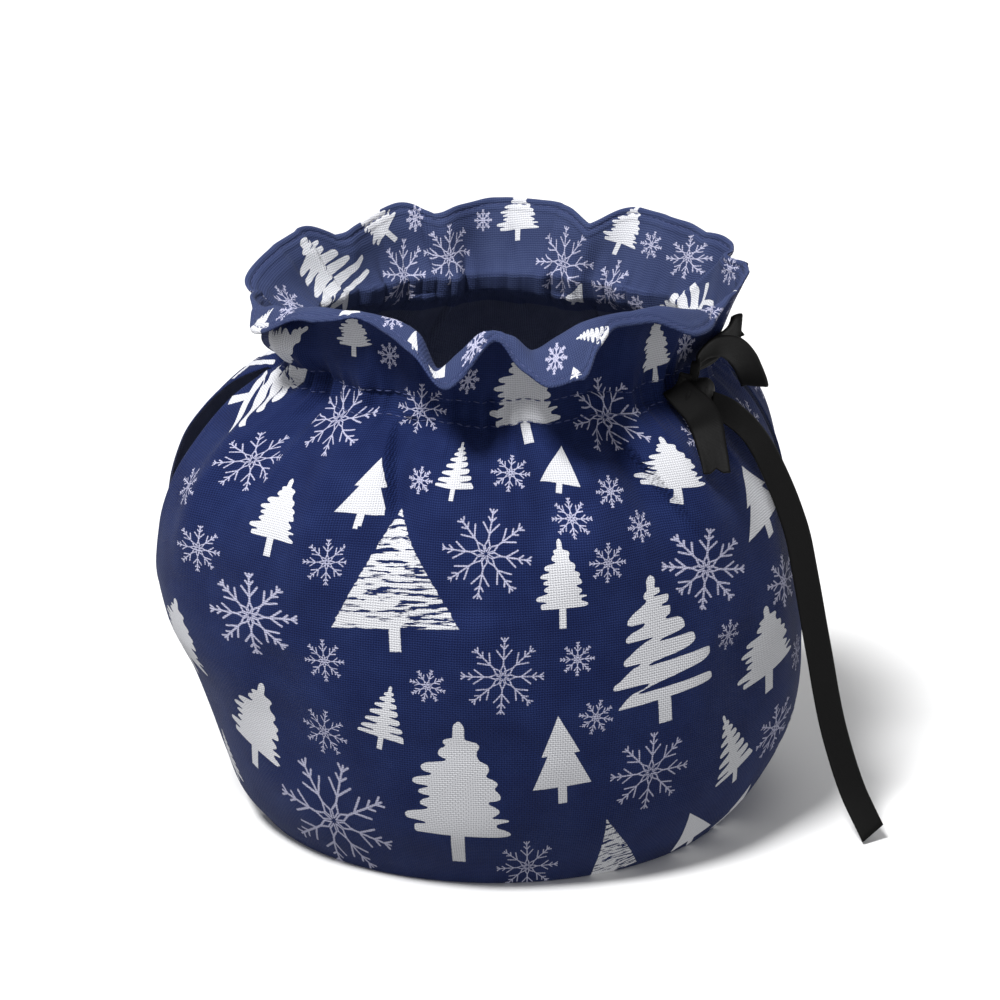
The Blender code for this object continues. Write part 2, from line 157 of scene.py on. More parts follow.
# Folds in the collar, from its foot to its rim: the angle at each, the half width in degrees at the rim, the depth,
# and how sharp the step is, in degrees. A step of 0 is a plain trough.
RUFFLES = (
    (107.4, 108.6, 3.0, 1.7, 0.5), (76, 73, 2.4, 1.2, 0.5), (139, 144, 2.6, -1.3, 0.6), (103, 104, 3.6, -1.2, 0.0),
    (64, 64, 3.4, -1.6, 0.0), (132, 132, 3.4, -1.4, 0.0), (30, 14, 5.0, 2.4, 0.8), (46, 44, 3.4, 0.9, 1.4),
    (84, 88, 4.0, -0.8, 1.4), (118, 122, 3.2, 0.8, 1.2), (148, 152, 4.0, -1.0, 1.4), (170, 176, 3.6, -1.4, 0.0),
    (196, 194, 4.0, 1.0, 1.2), (208, 212, 3.5, -1.0, 1.0), (233, 236, 3.2, 0.8, 1.4), (250, 248, 3.0, -0.9, 1.0),
    (270.5, 270.5, 2.6, -1.5, 0.0), (304, 304, 3.0, 0.9, 1.2), (322, 326, 3.4, -1.0, 1.2), (340, 338, 3.6, 1.0, 1.2),
    (355, 356, 3.4, -0.9, 1.0),
)
RUFFLE_SPREAD = (0.45, 0.55)  # like FOLD_SPREAD, from the collar's foot to its rim
ROLLED_SMOOTHING = 0.4  # the collar's small folds are this much weaker where it rolls over
# The sharp dips between the scallops of the rim: angle, depth in millimetres, reach in degrees, and how far the rim
# stands up on both sides of the dip
CUSPS = (
    (135, 0.9, 2.6, 0.9), (106, 0.5, 2.6, 1.1), (64, 1.2, 2.8, 1.1), (30, 0.6, 2.5, 0.5), (224, 0.6, 3.0, 0.3),
    (346, 0.6, 3.0, 0.3),
)
CUSP_SHARPNESS = 1.3  # how fast a dip fades away from its middle
SHOULDER_AT, SHOULDER_WIDTH = 2.2, 1.5  # in reaches of the dip
# Where the rim hangs lower than the solids' (or higher, if negative): angle, drop, outward move, reach in degrees
DROOPS = (
    (169, 3.6, -0.9, 6.0), (177, 2.6, 0.0, 4.0), (152, -1.0, 0.0, 6.0), (196, 0.0, -2.6, 6.5), (211, 3.2, 0.0, 6.5),
    (236, -2.2, 0.0, 4.5), (247, -1.0, 0.0, 3.0), (254.5, -2.4, 0.0, 3.6), (274.5, 2.4, 0.0, 2.4),
    (286.5, -2.4, 0.0, 3.6), (325, 1.6, 0.0, 6.0),
)
COLLAR_START = (0.15, 1.0)  # the way that the rolled collar sets off from its foot, outwards and up
BAG_TOP, BAG_LIFT = 0.6, 0.75  # the bagging ends this far up the collar, and how low its widest place is
# In front the collar rises to a crest and rolls over it, so its inner face shows above the rim: angle, the crest's
# radius and height, how much of the roll there is, and how far the cloth below it bags outwards
CRESTS = (
    (186, 71.0, 165.0, 0.0, 2.0), (197, 70.5, 166.0, 0.7, 7.0), (205, 70.0, 166.8, 1.0, 8.5),
    (212, 69.5, 168.6, 1.0, 6.5), (225, 68.5, 172.3, 1.0, 1.0), (240, 67.0, 173.2, 1.0, 0.0),
    (245, 67.5, 173.0, 1.0, 0.0), (251.5, 69.5, 170.4, 1.0, 0.0), (257, 72.5, 161.4, 1.0, 0.0),
    (262, 70.0, 166.2, 1.0, 0.0), (268, 68.5, 172.0, 1.0, 0.0), (274, 68.0, 170.4, 1.0, 0.0),
    (279, 67.5, 165.7, 1.0, 0.0), (286, 67.0, 169.4, 1.0, 0.0), (292, 67.0, 172.5, 1.0, 0.0),
    (300, 67.5, 173.8, 1.0, 0.0), (311, 69.0, 173.8, 1.0, 0.0), (321, 71.0, 171.8, 0.9, 0.0),
    (333, 73.0, 170.5, 0.5, 0.0), (345, 74.0, 171.0, 0.0, 0.0),
)


def hermite(start, end, leaving, arriving, t):
    """A smooth curve between two values with a slope at each end."""
    a, b, c, d = 2 * t**3 - 3 * t**2 + 1, -2 * t**3 + 3 * t**2, t**3 - 2 * t**2 + t, t**3 - t**2
    return start * a + end * b + leaving * c + arriving * d


def rolled(foot, crest, rim, t):
    """Radius and height at a share of the way from the collar's foot over its crest to its rim."""
    first = np.hypot(crest[0] - foot[0], crest[1] - foot[1])
    second = np.hypot(rim[0] - crest[0], rim[1] - crest[1])
    whole = np.hypot(rim[0] - foot[0], rim[1] - foot[1])
    way = t * (first + second)
    rising = way < first
    u = np.where(rising, way / first, (way - first) / second)
    result = []
    for axis, up in enumerate(COLLAR_START):
        over = (rim[axis] - foot[axis]) / whole
        below = hermite(foot[axis], crest[axis], up * first, over * first, u)
        beyond = hermite(crest[axis], rim[axis], over * second, rim[axis] - crest[axis], u)
        result.append(np.where(rising, below, beyond))
    return result


def rim_drop(angle):
    """How far the rim drops below its smooth line, and how far it moves outwards."""
    drop = np.zeros(angle.shape)
    out = np.zeros(angle.shape)
    for at, depth, reach, shoulder in CUSPS:
        off = np.abs(turn_between(angle, at)) / reach
        drop += depth * np.exp(-off * CUSP_SHARPNESS)
        drop -= shoulder * np.exp(-(((off - SHOULDER_AT) / SHOULDER_WIDTH) ** 2))
    for at, depth, outward, reach in DROOPS:
        near = np.exp(-((turn_between(angle, at) / reach) ** 2))
        drop += depth * near
        out += outward * near
    return drop, out


def columns(table, names):
    """A short table's columns by name."""
    return dict(zip(names, np.array(table, float).T))


def monotone(knots, values, at):
    """A smooth curve through the values that doesn't overshoot them."""
    step = np.diff(knots)
    slope = np.diff(values) / step
    together = slope[1:] * slope[:-1]
    total = np.where(together > 0, slope[1:] + slope[:-1], 1.0)
    tangent = np.concatenate([slope[:1], np.where(together > 0, 2 * together / total, 0.0), slope[-1:]])
    i = np.clip(np.searchsorted(knots, at, side="right") - 1, 0, len(step) - 1)
    t = np.clip((at - knots[i]) / step[i], 0.0, 1.0)
    rise = values[i] + step[i] * tangent[i] * t * (1 - t) ** 2 - step[i] * tangent[i + 1] * t**2 * (1 - t)
    return rise + (values[i + 1] - values[i]) * t**2 * (3 - 2 * t)


def round_the_axis(table, at):
    """A table's columns as smooth curves that are closed round the axis. Its first column is the angle."""
    angles, *values = np.array(table, float).T
    knots = np.concatenate([angles - 360, angles, angles + 360])
    return [monotone(knots, np.tile(column, 3), at % 360) for column in values]


def four_way(sides, angle):
    """A radius that eases between its values to the left, right, front and back."""
    across = np.cos(np.radians(angle))
    along = np.sin(np.radians(angle))
    level = np.where(across > 0, sides["right"], sides["left"]) * across**2
    return level + np.where(along > 0, sides["back"], sides["front"]) * along**2


def turn_between(angle, middle):
    """The signed turn from the middle to an angle, in degrees."""
    return (angle - middle + 180) % 360 - 180


def down_a_fold(line, angle, height, radius):
    """How far down a fold a height is, 0 to 1, and the distance round the body from the fold's line."""
    upper_angle, lower_angle, top, bottom = line
    along = np.clip((top - height) / (top - bottom), 0, 1)
    middle = upper_angle + (lower_angle - upper_angle) * along
    return along, np.radians(turn_between(angle, middle)) * radius


def fold_relief(angle, height, radius):
    """How far the folds and gathers stand out of the body at an angle and height."""
    relief = np.zeros(np.broadcast(angle, height).shape)
    for *line, half_width, depth in FOLDS:
        along, off = down_a_fold(line, angle, height, radius)
        fade = np.sin(np.pi * np.sqrt(along))
        spread = half_width * (FOLD_SPREAD[0] + FOLD_SPREAD[1] * along)
        relief = relief + depth * fade * np.exp(-((off / spread) ** 2))
    reach = np.clip(1 - (NECK - height) / GATHER_REACH, 0, 1)
    for count, phase, depth in GATHERS:
        relief = relief + depth * reach**2 * np.sin(np.radians(count * angle + phase))
    return relief


def fine_relief(angle, height, radius):
    """The pleats, puckers and swells that the solids leave out."""
    relief = np.zeros(np.broadcast(angle, height).shape)
    for *line, half_width, depth, step in PLEATS:
        along, off = down_a_fold(line, angle, height, radius)
        fade = np.sin(np.pi * along**0.6) ** 0.8
        spread = half_width * (PLEAT_SPREAD[0] + PLEAT_SPREAD[1] * along)
        side = np.tanh(off / (step * (PLEAT_STEP[0] + PLEAT_STEP[1] * along)))
        relief = relief + depth * fade * side * np.exp(-np.abs(off) / spread)
    start, whole = SWELL_START
    for around, up, phase, lift, depth in SWELLS:
        wave = np.sin(np.radians(around * angle + phase)) * np.cos(up * height + math.radians(lift))
        relief = relief + depth * wave * np.clip((height - start) / whole, 0, 1)
    return relief + pucker(angle, height)


def pucker(angle, height):
    """Tight gathers on both sides of the casing."""
    low, high = NECK, COLLAR_FOOT[0]
    off = np.where(height < low, (low - height) / PUCKER_BELOW, np.clip(height - high, 0, None) / PUCKER_ABOVE)
    near = np.clip(1 - off, 0, 1) ** 1.5
    wave = sum(depth * np.sin(np.radians(count * angle + phase)) for count, phase, depth in PUCKERS)
    for count, phase, depth in PUFFS:
        wave = wave + depth * (1 - 2 * np.abs(np.sin(np.radians(count * angle + phase))) ** 0.6)
    share, count, phase = PUCKER_DRIFT
    return near * wave * (1 + share * np.sin(np.radians(count * angle + phase)))


def ruffle_relief(angle, t):
    """The collar's small folds, at an angle and a share of the way from its foot to its rim."""
    relief = np.zeros(np.broadcast(angle, t).shape)
    for foot_angle, rim_angle, half_width, depth, step in RUFFLES:
        middle = foot_angle + (rim_angle - foot_angle) * t
        off = turn_between(angle, middle) / (half_width * (RUFFLE_SPREAD[0] + RUFFLE_SPREAD[1] * t))
        if step:
            shape = np.tanh(off * half_width / step) * np.exp(-np.abs(off))
        else:
            shape = np.exp(-np.abs(off) ** 1.3)
        relief = relief + depth * np.sin(np.pi * np.clip(t, 0, 1) ** 0.8 * 0.8 + 0.12) * shape
    return relief


def placed(angle, radius, height):
    """Points at an angle, radius and height round the neck's axis."""
    turn = np.radians(angle)
    return np.stack([radius * np.cos(turn), radius * np.sin(turn), np.broadcast_to(height, turn.shape)], axis=-1)


def opening_edge(side, section, way):
    """The angle of a panel's edge at an opening or seam, on the side that the panel is, and how wide it is open."""
    at, bottom, top, half_width = OPENINGS[side]
    radius = float(four_way(section, at))
    middle = (bottom + top) / 2
    along = (section["height"] - middle) / (top - middle)
    lens = half_width * max(0.0, 1 - along * along) ** LENS_POWER
    return at + way * math.degrees(max(SEAM_GAP / 2, lens) / radius), lens


class Wall:
    """The outer face of one panel, as a grid of points with where each lies on the cut cloth."""

    def __init__(self, from_side, to_side):
        self.sides = (from_side, to_side)
        self.casing_row = HEM_ROWS + BODY_ROWS
        self.points, self.plain, self.angle, self.lenses = [], [], [], []
        self.build_body()
        self.build_collar()
        self.measure()

    def angles(self, section):
        """A row's angles, with one more beyond each edge."""
        start, first_lens = opening_edge(self.sides[0], section, 1)
        end, last_lens = opening_edge(self.sides[1], section, -1)
        end += 360 if end < start else 0
        self.lenses.append((first_lens, last_lens))
        return start + (end - start) * np.arange(-1, COLUMNS + 2) / COLUMNS

    def add_row(self, angle, radius, height, relief=0.0):
        self.points.append(placed(angle, radius + relief, height))
        self.plain.append(placed(angle, radius, height))
        self.angle.append(angle)

    def build_body(self):
        """The hem under the base, the body and the casing."""
        table = columns(SECTIONS + (COLLAR_FOOT,), SECTION_COLUMNS)
        station = np.arange(len(SECTIONS) + 1.0)
        last = len(SECTIONS) - 1
        at = np.concatenate([np.linspace(0, last, BODY_ROWS + 1), np.linspace(last, last + 1, CASING_ROWS + 1)[1:]])
        curves = [monotone(station, table[name], at) for name in SECTION_COLUMNS]
        sections = [dict(zip(SECTION_COLUMNS, values)) for values in zip(*curves)]
        for i in range(HEM_ROWS):
            angle = self.angles(sections[0])
            self.add_row(angle, four_way(sections[0], angle) - HEM_WIDTH * (1 - i / HEM_ROWS), 0.0)
        for i, section in enumerate(sections):
            height = section["height"]
            angle = self.angles(section)
            radius = four_way(section, angle)
            relief = 0.0
            if i:
                deeper = 1 + (FOLD_GAIN - 1) * smooth_step((NECK - height) / FOLD_EASE)
                relief = fold_relief(angle, height, radius) * deeper + fine_relief(angle, height, radius)
            self.add_row(angle, radius, height, relief)

    def build_collar(self):
        """The collar, from the casing to its rim, over its crest in front."""
        foot = dict(zip(SECTION_COLUMNS, COLLAR_FOOT))
        angle = self.angles(foot)
        self.lenses += self.lenses[-1:] * (COLLAR_ROWS - 1)
        plain_foot = four_way(foot, angle)
        foot_radius = plain_foot + fold_relief(angle, NECK, plain_foot)
        drop, outward = rim_drop(angle)
        rim_radius, rim_height = round_the_axis(FLUTES, angle)
        rim_radius, rim_height = rim_radius + outward, rim_height - drop
        *crest, roll, bag = round_the_axis(CRESTS, angle)
        for i in range(1, COLLAR_ROWS + 1):
            t = 1 - (1 - i / COLLAR_ROWS) ** RIM_CROWDING
            height = foot["height"] + (rim_height - foot["height"]) * (1 - (1 - t) ** COLLAR_RISE)
            radius = foot_radius + (rim_radius - foot_radius) * t**COLLAR_FLARE
            over = rolled((foot_radius, foot["height"]), crest, (rim_radius, rim_height), t)
            bagging = math.sin(math.pi * min(t / BAG_TOP, 1.0) ** BAG_LIFT)
            radius = radius + (over[0] - radius) * roll + bag * bagging
            height = height + (over[1] - height) * roll
            fine = ruffle_relief(angle, t) * (1 - ROLLED_SMOOTHING * roll) + pucker(angle, height)
            self.add_row(angle, radius, height, fine)

    def measure(self):
        """Where each point lies on the cut cloth, in millimetres."""
        self.points, self.angle = np.array(self.points), np.array(self.angle)
        plain = np.array(self.plain)
        step = np.linalg.norm(np.diff(plain, axis=0), axis=-1)
        self.along = np.concatenate([np.zeros((1, step.shape[1])), np.cumsum(step, axis=0)])
        self.along -= self.along[HEM_ROWS]
        self.to_rim = self.along[-1] - self.along
        radius = np.hypot(plain[..., 0], plain[..., 1])
        from_start = np.radians(self.angle - self.angle[:, 1:2]) * radius
        from_end = np.radians(self.angle[:, -2:-1] - self.angle) * radius
        self.to_side = np.minimum(from_start, from_end)
        # How wide the opening beside each point is, 0 where the panels are sewn together
        lenses = np.array(self.lenses)
        self.lens = np.where(from_start < from_end, lenses[:, :1], lenses[:, 1:])


def smooth_step(value):
    value = np.clip(value, 0, 1)
    return value * value * (3 - 2 * value)


def normals_of(points):
    """Unit normals of a grid of points, away from the neck's axis on the body."""
    normal = np.cross(np.gradient(points, axis=1), np.gradient(points, axis=0))
    return normal / np.linalg.norm(normal, axis=-1, keepdims=True)


def finished_cloth(wall):
    """The outer and inner faces of a panel, with its seams drawn in and its hems turned."""
    points = wall.points.copy()
    opening = smooth_step(wall.lens / SEWN_BELOW)
    normal = normals_of(points)
    normal[:HEM_ROWS] = (0, 0, -1)
    # A seam is a narrow valley that puckers a little.
    pull = np.exp(-((np.clip(wall.to_side, 0, None) / SEAM_REACH) ** 2)) * (1 - opening)
    pull *= SEAM_DEPTH + 0.25 * np.sin(wall.along * 1.1) + 0.15 * np.sin(wall.along * 2.3 + 1)
    pull[: HEM_ROWS + 1] *= 0.1
    points -= normal * pull[..., None]
    # The openings' edges and the collar's rim are turned in: thicker there, with a groove along the hem's inner edge.
    edge = np.where(opening > 0.5, wall.to_side, NO_EDGE)
    edge = np.minimum(edge, wall.to_rim)
    edge = np.clip(edge, 0, None)
    doubled = 1 - smooth_step((edge - HEM_FOLD + 0.5) / 1.0)
    groove = np.exp(-(((edge - HEM_FOLD + STITCH_INSET) / 0.45) ** 2))
    rounded = np.sqrt(np.clip(1 - (1 - np.clip(edge / EDGE_ROUND, 0, 1)) ** 2, 0.02, 1))
    thick = (CLOTH + HEM_DOUBLING * doubled - 0.25 * groove) * np.where(edge < EDGE_ROUND, rounded, 1)
    lift = HEM_DOUBLING * 0.4 * doubled - 0.16 * groove
    lift -= (CLOTH / 2) * (1 - rounded) * (edge < EDGE_ROUND)
    lift[: HEM_ROWS + 1] = 0
    outer = points + normal * lift[..., None]
    thick -= 0.4 * np.exp(-(((wall.to_rim - INNER_STITCHES) / 0.5) ** 2))
    inner = outer - normal * thick[..., None]
    return outer[:, 1:-1], inner[:, 1:-1]


# ---------------------------------------------------------------- material helpers
def plug(tree, place, value):
    """Feed an input from a Field, or with a fixed value."""
    if isinstance(value, Field):
        tree.links.new(value.socket, place)
    else:
        place.default_value = value


def configure(node, **values):
    """Fixed inputs of a node by name, with underscores for spaces."""
    for name, value in values.items():
        node.inputs[name.replace("_", " ")].default_value = value


def maths(operation, swapped=False):
    """A method of Field that works out one operation, with the other number first if swapped."""

    def method(field, *others):
        return field.node(operation, *((*others, field) if swapped else (field, *others)))

    return method


class Field:
    """A number that the nodes work out at each point of a surface."""

    def __init__(self, tree, socket):
        self.tree = tree
        self.socket = socket

    def node(self, operation, *inputs, clamp=False):
        made = self.tree.nodes.new("ShaderNodeMath")
        made.operation = operation
        made.use_clamp = clamp
        for place, value in zip(made.inputs, inputs):
            plug(self.tree, place, value)
        return Field(self.tree, made.outputs[0])

    def clamped(self):
        return self.node("ADD", self, 0.0, clamp=True)

    __add__, __radd__ = maths("ADD"), maths("ADD", swapped=True)
    __sub__, __rsub__ = maths("SUBTRACT"), maths("SUBTRACT", swapped=True)
    __mul__, __rmul__ = maths("MULTIPLY"), maths("MULTIPLY", swapped=True)
    __truediv__, __abs__ = maths("DIVIDE"), maths("ABSOLUTE")
    least, most, above = maths("MINIMUM"), maths("MAXIMUM"), maths("GREATER_THAN")
    sine, cosine, angle_with = maths("SINE"), maths("COSINE"), maths("ARCTAN2")
    root, fraction = maths("SQRT"), maths("FRACT")


def noise(tree, vector, scale, detail=2.0, roughness=0.5):
    """A noise texture's value."""
    made = tree.nodes.new("ShaderNodeTexNoise")
    configure(made, Scale=scale, Detail=detail, Roughness=roughness)
    tree.links.new(vector, made.inputs["Vector"])
    return Field(tree, made.outputs[0])


def combine(tree, x, y):
    """A vector from two numbers."""
    made = tree.nodes.new("ShaderNodeCombineXYZ")
    for place, value in zip(made.inputs, (x, y)):
        plug(tree, place, value)
    return made.outputs[0]


def separate(tree, socket):
    made = tree.nodes.new("ShaderNodeSeparateXYZ")
    tree.links.new(socket, made.inputs[0])
    return [Field(tree, out) for out in made.outputs]


def cloth_place(tree):
    """The place on the cloth or along the ribbon, in millimetres."""
    uv = tree.nodes.new("ShaderNodeUVMap")
    uv.uv_map = "weave"
    return separate(tree, uv.outputs[0])[:2]


def add_bump(tree, shader, height, strength, distance):
    bump = tree.nodes.new("ShaderNodeBump")
    configure(bump, Strength=strength, Distance=distance)
    tree.links.new(height.socket, bump.inputs["Height"])
    tree.links.new(bump.outputs[0], shader.inputs["Normal"])


def mixed(tree, share, first, second):
    """A colour between two, by a share that is a Field."""
    made = tree.nodes.new("ShaderNodeMix")
    made.data_type = "RGBA"
    tree.links.new(share.socket, made.inputs["Factor"])
    for name, value in (("A", first), ("B", second)):
        place = [s for s in made.inputs if s.name == name and s.type == "RGBA"][0]
        if isinstance(value, tuple):
            place.default_value = (*value, 1.0)
        else:
            tree.links.new(value, place)
    return [s for s in made.outputs if s.type == "RGBA"][0]


def fresh_material(name):
    material = bpy.data.materials.new(name)
    material.use_nodes = True
    tree = material.node_tree
    return material, tree, tree.nodes["Principled BSDF"]


def linear(red, green, blue):
    """A colour given as it looks on a screen, 0 to 255, in linear light."""

    def one(value):
        value = value / 255
        return value / 12.92 if value <= 0.04045 else ((value + 0.055) / 1.055) ** 2.4

    return (one(red), one(green), one(blue))


# ---------------------------------------------------------------- the printed motifs
# Each is drawn in its own square: x and y from -1 to 1, and line is half a stroke's width. The result is how far a
# point is outside the ink, below 0 where it is inside.
ARMS = 8
# A snowflake's strokes in one half of one arm: (along the arm, beside it) at each end
FLAKE_STROKES = (
    ((0.31, 0.0), (0.97, 0.0)), ((0.87, 0.0), (0.97, 0.08)), ((0.70, 0.0), (0.80, 0.085)),
    ((0.44, 0.0), (0.67, 0.18)), ((0.05, 0.0), (0.18, 0.056)), ((0.18, 0.056), (0.32, 0.0)),
)


def stroke(x, y, start, end):
    """The distance to a straight stroke."""
    dx, dy = end[0] - start[0], end[1] - start[1]
    length = dx * dx + dy * dy
    from_x = x - start[0]
    from_y = y - start[1]
    share = ((from_x * dx + from_y * dy) / length).clamped()
    off_x = from_x - share * dx
    off_y = from_y - share * dy
    return (off_x * off_x + off_y * off_y).root()


def box(x, y, middle, half):
    """How far a point is outside an upright bar."""
    return (abs(x - middle[0]) - half[0]).most(abs(y - middle[1]) - half[1])


def draw_flake(tree, x, y, line):
    radius = (x * x + y * y).root()
    turn = y.angle_with(x) * (ARMS / math.tau)
    off = abs((turn + 0.5).fraction() - 0.5) * (math.tau / ARMS)
    along = radius * off.cosine()
    beside = radius * off.sine()
    nearest = None
    for start, end in FLAKE_STROKES:
        distance = stroke(along, beside, start, end)
        nearest = distance if nearest is None else nearest.least(distance)
    return nearest - line * ((along * 1.6 + 0.5).clamped())


def draw_plain(tree, x, y, line):
    leaf = (abs(x) - (1.0 - y) * 0.6).most(-0.62 - y)
    return leaf.least(box(x, y, (0.0, -0.78), (0.14, 0.22)))


def draw_tiers(tree, x, y, line):
    upper = (abs(x) - (1.0 - y) * 0.74).most(0.14 - y)
    lower = (abs(x) - (0.72 - y) * 0.76).most(-0.6 - y)
    return upper.least(lower).least(box(x, y, (0.0, -0.78), (0.15, 0.22)))


def profile(tree, height, rows):
    """A curve through a short table of rows: a share of the tree's height, and how far the ink reaches there."""
    node = tree.nodes.new("ShaderNodeFloatCurve")
    curve = node.mapping.curves[0]
    rows = sorted(rows)
    rows = [(0.0, rows[0][1])] + rows if rows[0][0] > 0 else rows
    while len(curve.points) < len(rows):
        curve.points.new(0.5, 0.5)
    for point, (share, reach) in zip(curve.points, rows):
        point.location = (share, (reach + 1) / 2)
        point.handle_type = "AUTO_CLAMPED"
    node.mapping.update()
    tree.links.new(height.socket, node.inputs["Value"])
    return Field(tree, node.outputs[0]) * 2.0 - 1.0


# How far the ink reaches to each side of a tree's middle, from its foot (0) to its tip (1)
FIR_LEFT = (
    (0.222, -1.0), (0.228, 0.76), (0.25, 0.82), (0.285, 0.80), (0.302, 0.60), (0.312, 0.64), (0.325, 0.94),
    (0.345, 0.98), (0.39, 0.72), (0.415, 0.54), (0.425, 0.62), (0.44, 0.68), (0.47, 0.62), (0.495, 0.50),
    (0.505, 0.64), (0.52, 0.70), (0.545, 0.62), (0.56, 0.52), (0.57, 0.72), (0.59, 0.80), (0.62, 0.70), (0.65, 0.46),
    (0.66, 0.58), (0.685, 0.64), (0.72, 0.52), (0.75, 0.20), (0.76, 0.28), (0.785, 0.34), (0.815, 0.30),
    (0.835, 0.22), (0.86, 0.26), (0.88, 0.20), (0.89, 0.10), (0.96, 0.09), (0.985, 0.05), (1.0, -0.02),
)
FIR_RIGHT = (
    (0.222, -1.0), (0.228, 0.6), (0.25, 0.99), (0.28, 0.90), (0.315, 0.72), (0.335, 0.80), (0.35, 0.94),
    (0.362, 0.90), (0.37, 0.64), (0.39, 0.70), (0.415, 0.76), (0.445, 0.68), (0.478, 0.56), (0.49, 0.70),
    (0.51, 0.77), (0.545, 0.72), (0.57, 0.66), (0.60, 0.70), (0.63, 0.62), (0.655, 0.50), (0.69, 0.54), (0.72, 0.52),
    (0.755, 0.36), (0.80, 0.32), (0.835, 0.36), (0.86, 0.32), (0.885, 0.11), (0.96, 0.09), (0.985, 0.05),
    (1.0, -0.02),
)
SCRIBBLE_LEFT = (
    (0.152, -1.0), (0.158, 0.78), (0.168, 0.84), (0.20, 0.78), (0.26, 0.58), (0.306, 0.26), (0.311, 0.84),
    (0.325, 0.90), (0.37, 0.76), (0.43, 0.52), (0.452, 0.38), (0.457, 0.64), (0.475, 0.68), (0.52, 0.56),
    (0.585, 0.22), (0.60, 0.10), (0.605, 0.56), (0.62, 0.60), (0.66, 0.50), (0.705, 0.22), (0.711, 0.46),
    (0.73, 0.54), (0.77, 0.46), (0.82, 0.22), (0.845, 0.14), (0.865, 0.18), (0.89, 0.16), (0.91, 0.10), (0.96, 0.09),
    (0.985, 0.05), (1.0, -0.02),
)
SCRIBBLE_RIGHT = (
    (0.17, -1.0), (0.176, 0.3), (0.185, 0.92), (0.205, 1.0), (0.235, 0.98), (0.246, 0.86), (0.252, -0.46),
    (0.27, -0.36), (0.315, 0.40), (0.345, 0.92), (0.375, 1.0), (0.405, 1.0), (0.414, 0.90), (0.42, -0.24),
    (0.45, 0.30), (0.475, 0.64), (0.505, 0.72), (0.54, 0.70), (0.552, 0.60), (0.56, 0.02), (0.585, 0.40),
    (0.61, 0.54), (0.65, 0.52), (0.68, 0.42), (0.695, 0.18), (0.72, 0.28), (0.765, 0.30), (0.785, 0.14), (0.80, 0.26),
    (0.835, 0.30), (0.85, 0.22), (0.858, 0.0), (0.875, 0.14), (0.90, 0.14), (0.915, 0.05), (0.96, 0.08),
    (0.985, 0.05), (1.0, -0.02),
)
ZIGZAG_LEFT = (
    (0.185, -1.0), (0.19, 0.94), (0.205, 1.0), (0.225, 0.98), (0.25, 0.70), (0.275, 0.34), (0.281, 0.82),
    (0.30, 0.88), (0.35, 0.66), (0.398, 0.24), (0.404, 0.70), (0.425, 0.76), (0.47, 0.54), (0.525, 0.16),
    (0.531, 0.56), (0.55, 0.62), (0.60, 0.42), (0.645, 0.12), (0.651, 0.42), (0.67, 0.48), (0.71, 0.30),
    (0.745, 0.08), (0.751, 0.28), (0.77, 0.33), (0.81, 0.22), (0.835, 0.10), (0.85, 0.20), (0.88, 0.18), (0.90, 0.07),
    (0.96, 0.07), (0.985, 0.05), (1.0, -0.02),
)
ZIGZAG_RIGHT = (
    (0.185, -1.0), (0.19, 0.94), (0.21, 1.0), (0.245, 0.94), (0.29, 0.84), (0.297, 0.30), (0.32, 0.66), (0.36, 0.82),
    (0.405, 0.70), (0.412, 0.20), (0.44, 0.56), (0.48, 0.66), (0.525, 0.56), (0.531, 0.18), (0.56, 0.44),
    (0.60, 0.52), (0.64, 0.44), (0.646, 0.14), (0.67, 0.34), (0.70, 0.41), (0.74, 0.32), (0.746, 0.12), (0.79, 0.29),
    (0.825, 0.22), (0.84, 0.10), (0.87, 0.18), (0.90, 0.16), (0.91, 0.07), (0.96, 0.07), (0.985, 0.05), (1.0, -0.02),
)


def silhouette(left, right, half, rise):
    """The drawing of a tree between its two profiles, on a trunk of a half width and half a height."""

    def draw(tree, x, y, line):
        height = ((y + 1.0) * 0.5).clamped()
        outside = (-1.0 * x - profile(tree, height, left)).most(x - profile(tree, height, right))
        return outside.least(box(x, y, (0.0, rise - 1.0), (half, rise)))

    return draw


def draw_striped(tree, x, y, line):
    ragged = noise(tree, combine(tree, x * 0.8, y * 10.0), 1.5, 3.0)
    leaf = (abs(x) - (1.0 - y) * 0.62 + ragged * 0.10 - 0.05).most(-0.66 - y)
    dry = noise(tree, combine(tree, x * 1.1, y * 11.0), 1.7, 3.0, 0.55)
    brush = (0.455 + x * 0.04 - dry) * 1.2
    return leaf.most(brush).least(box(x, y, (0.0, -0.8), (0.09, 0.2)))


MOTIF_DRAWINGS = {
    "flake": draw_flake,
    "plain": draw_plain,
    "tiers": draw_tiers,
    "fir": silhouette(FIR_LEFT, FIR_RIGHT, 0.13, 0.25),
    "scribble": silhouette(SCRIBBLE_LEFT, SCRIBBLE_RIGHT, 0.12, 0.19),
    "zigzag": silhouette(ZIGZAG_LEFT, ZIGZAG_RIGHT, 0.11, 0.2),
    "striped": draw_striped,
}
MOTIF_KINDS = tuple(MOTIF_DRAWINGS)

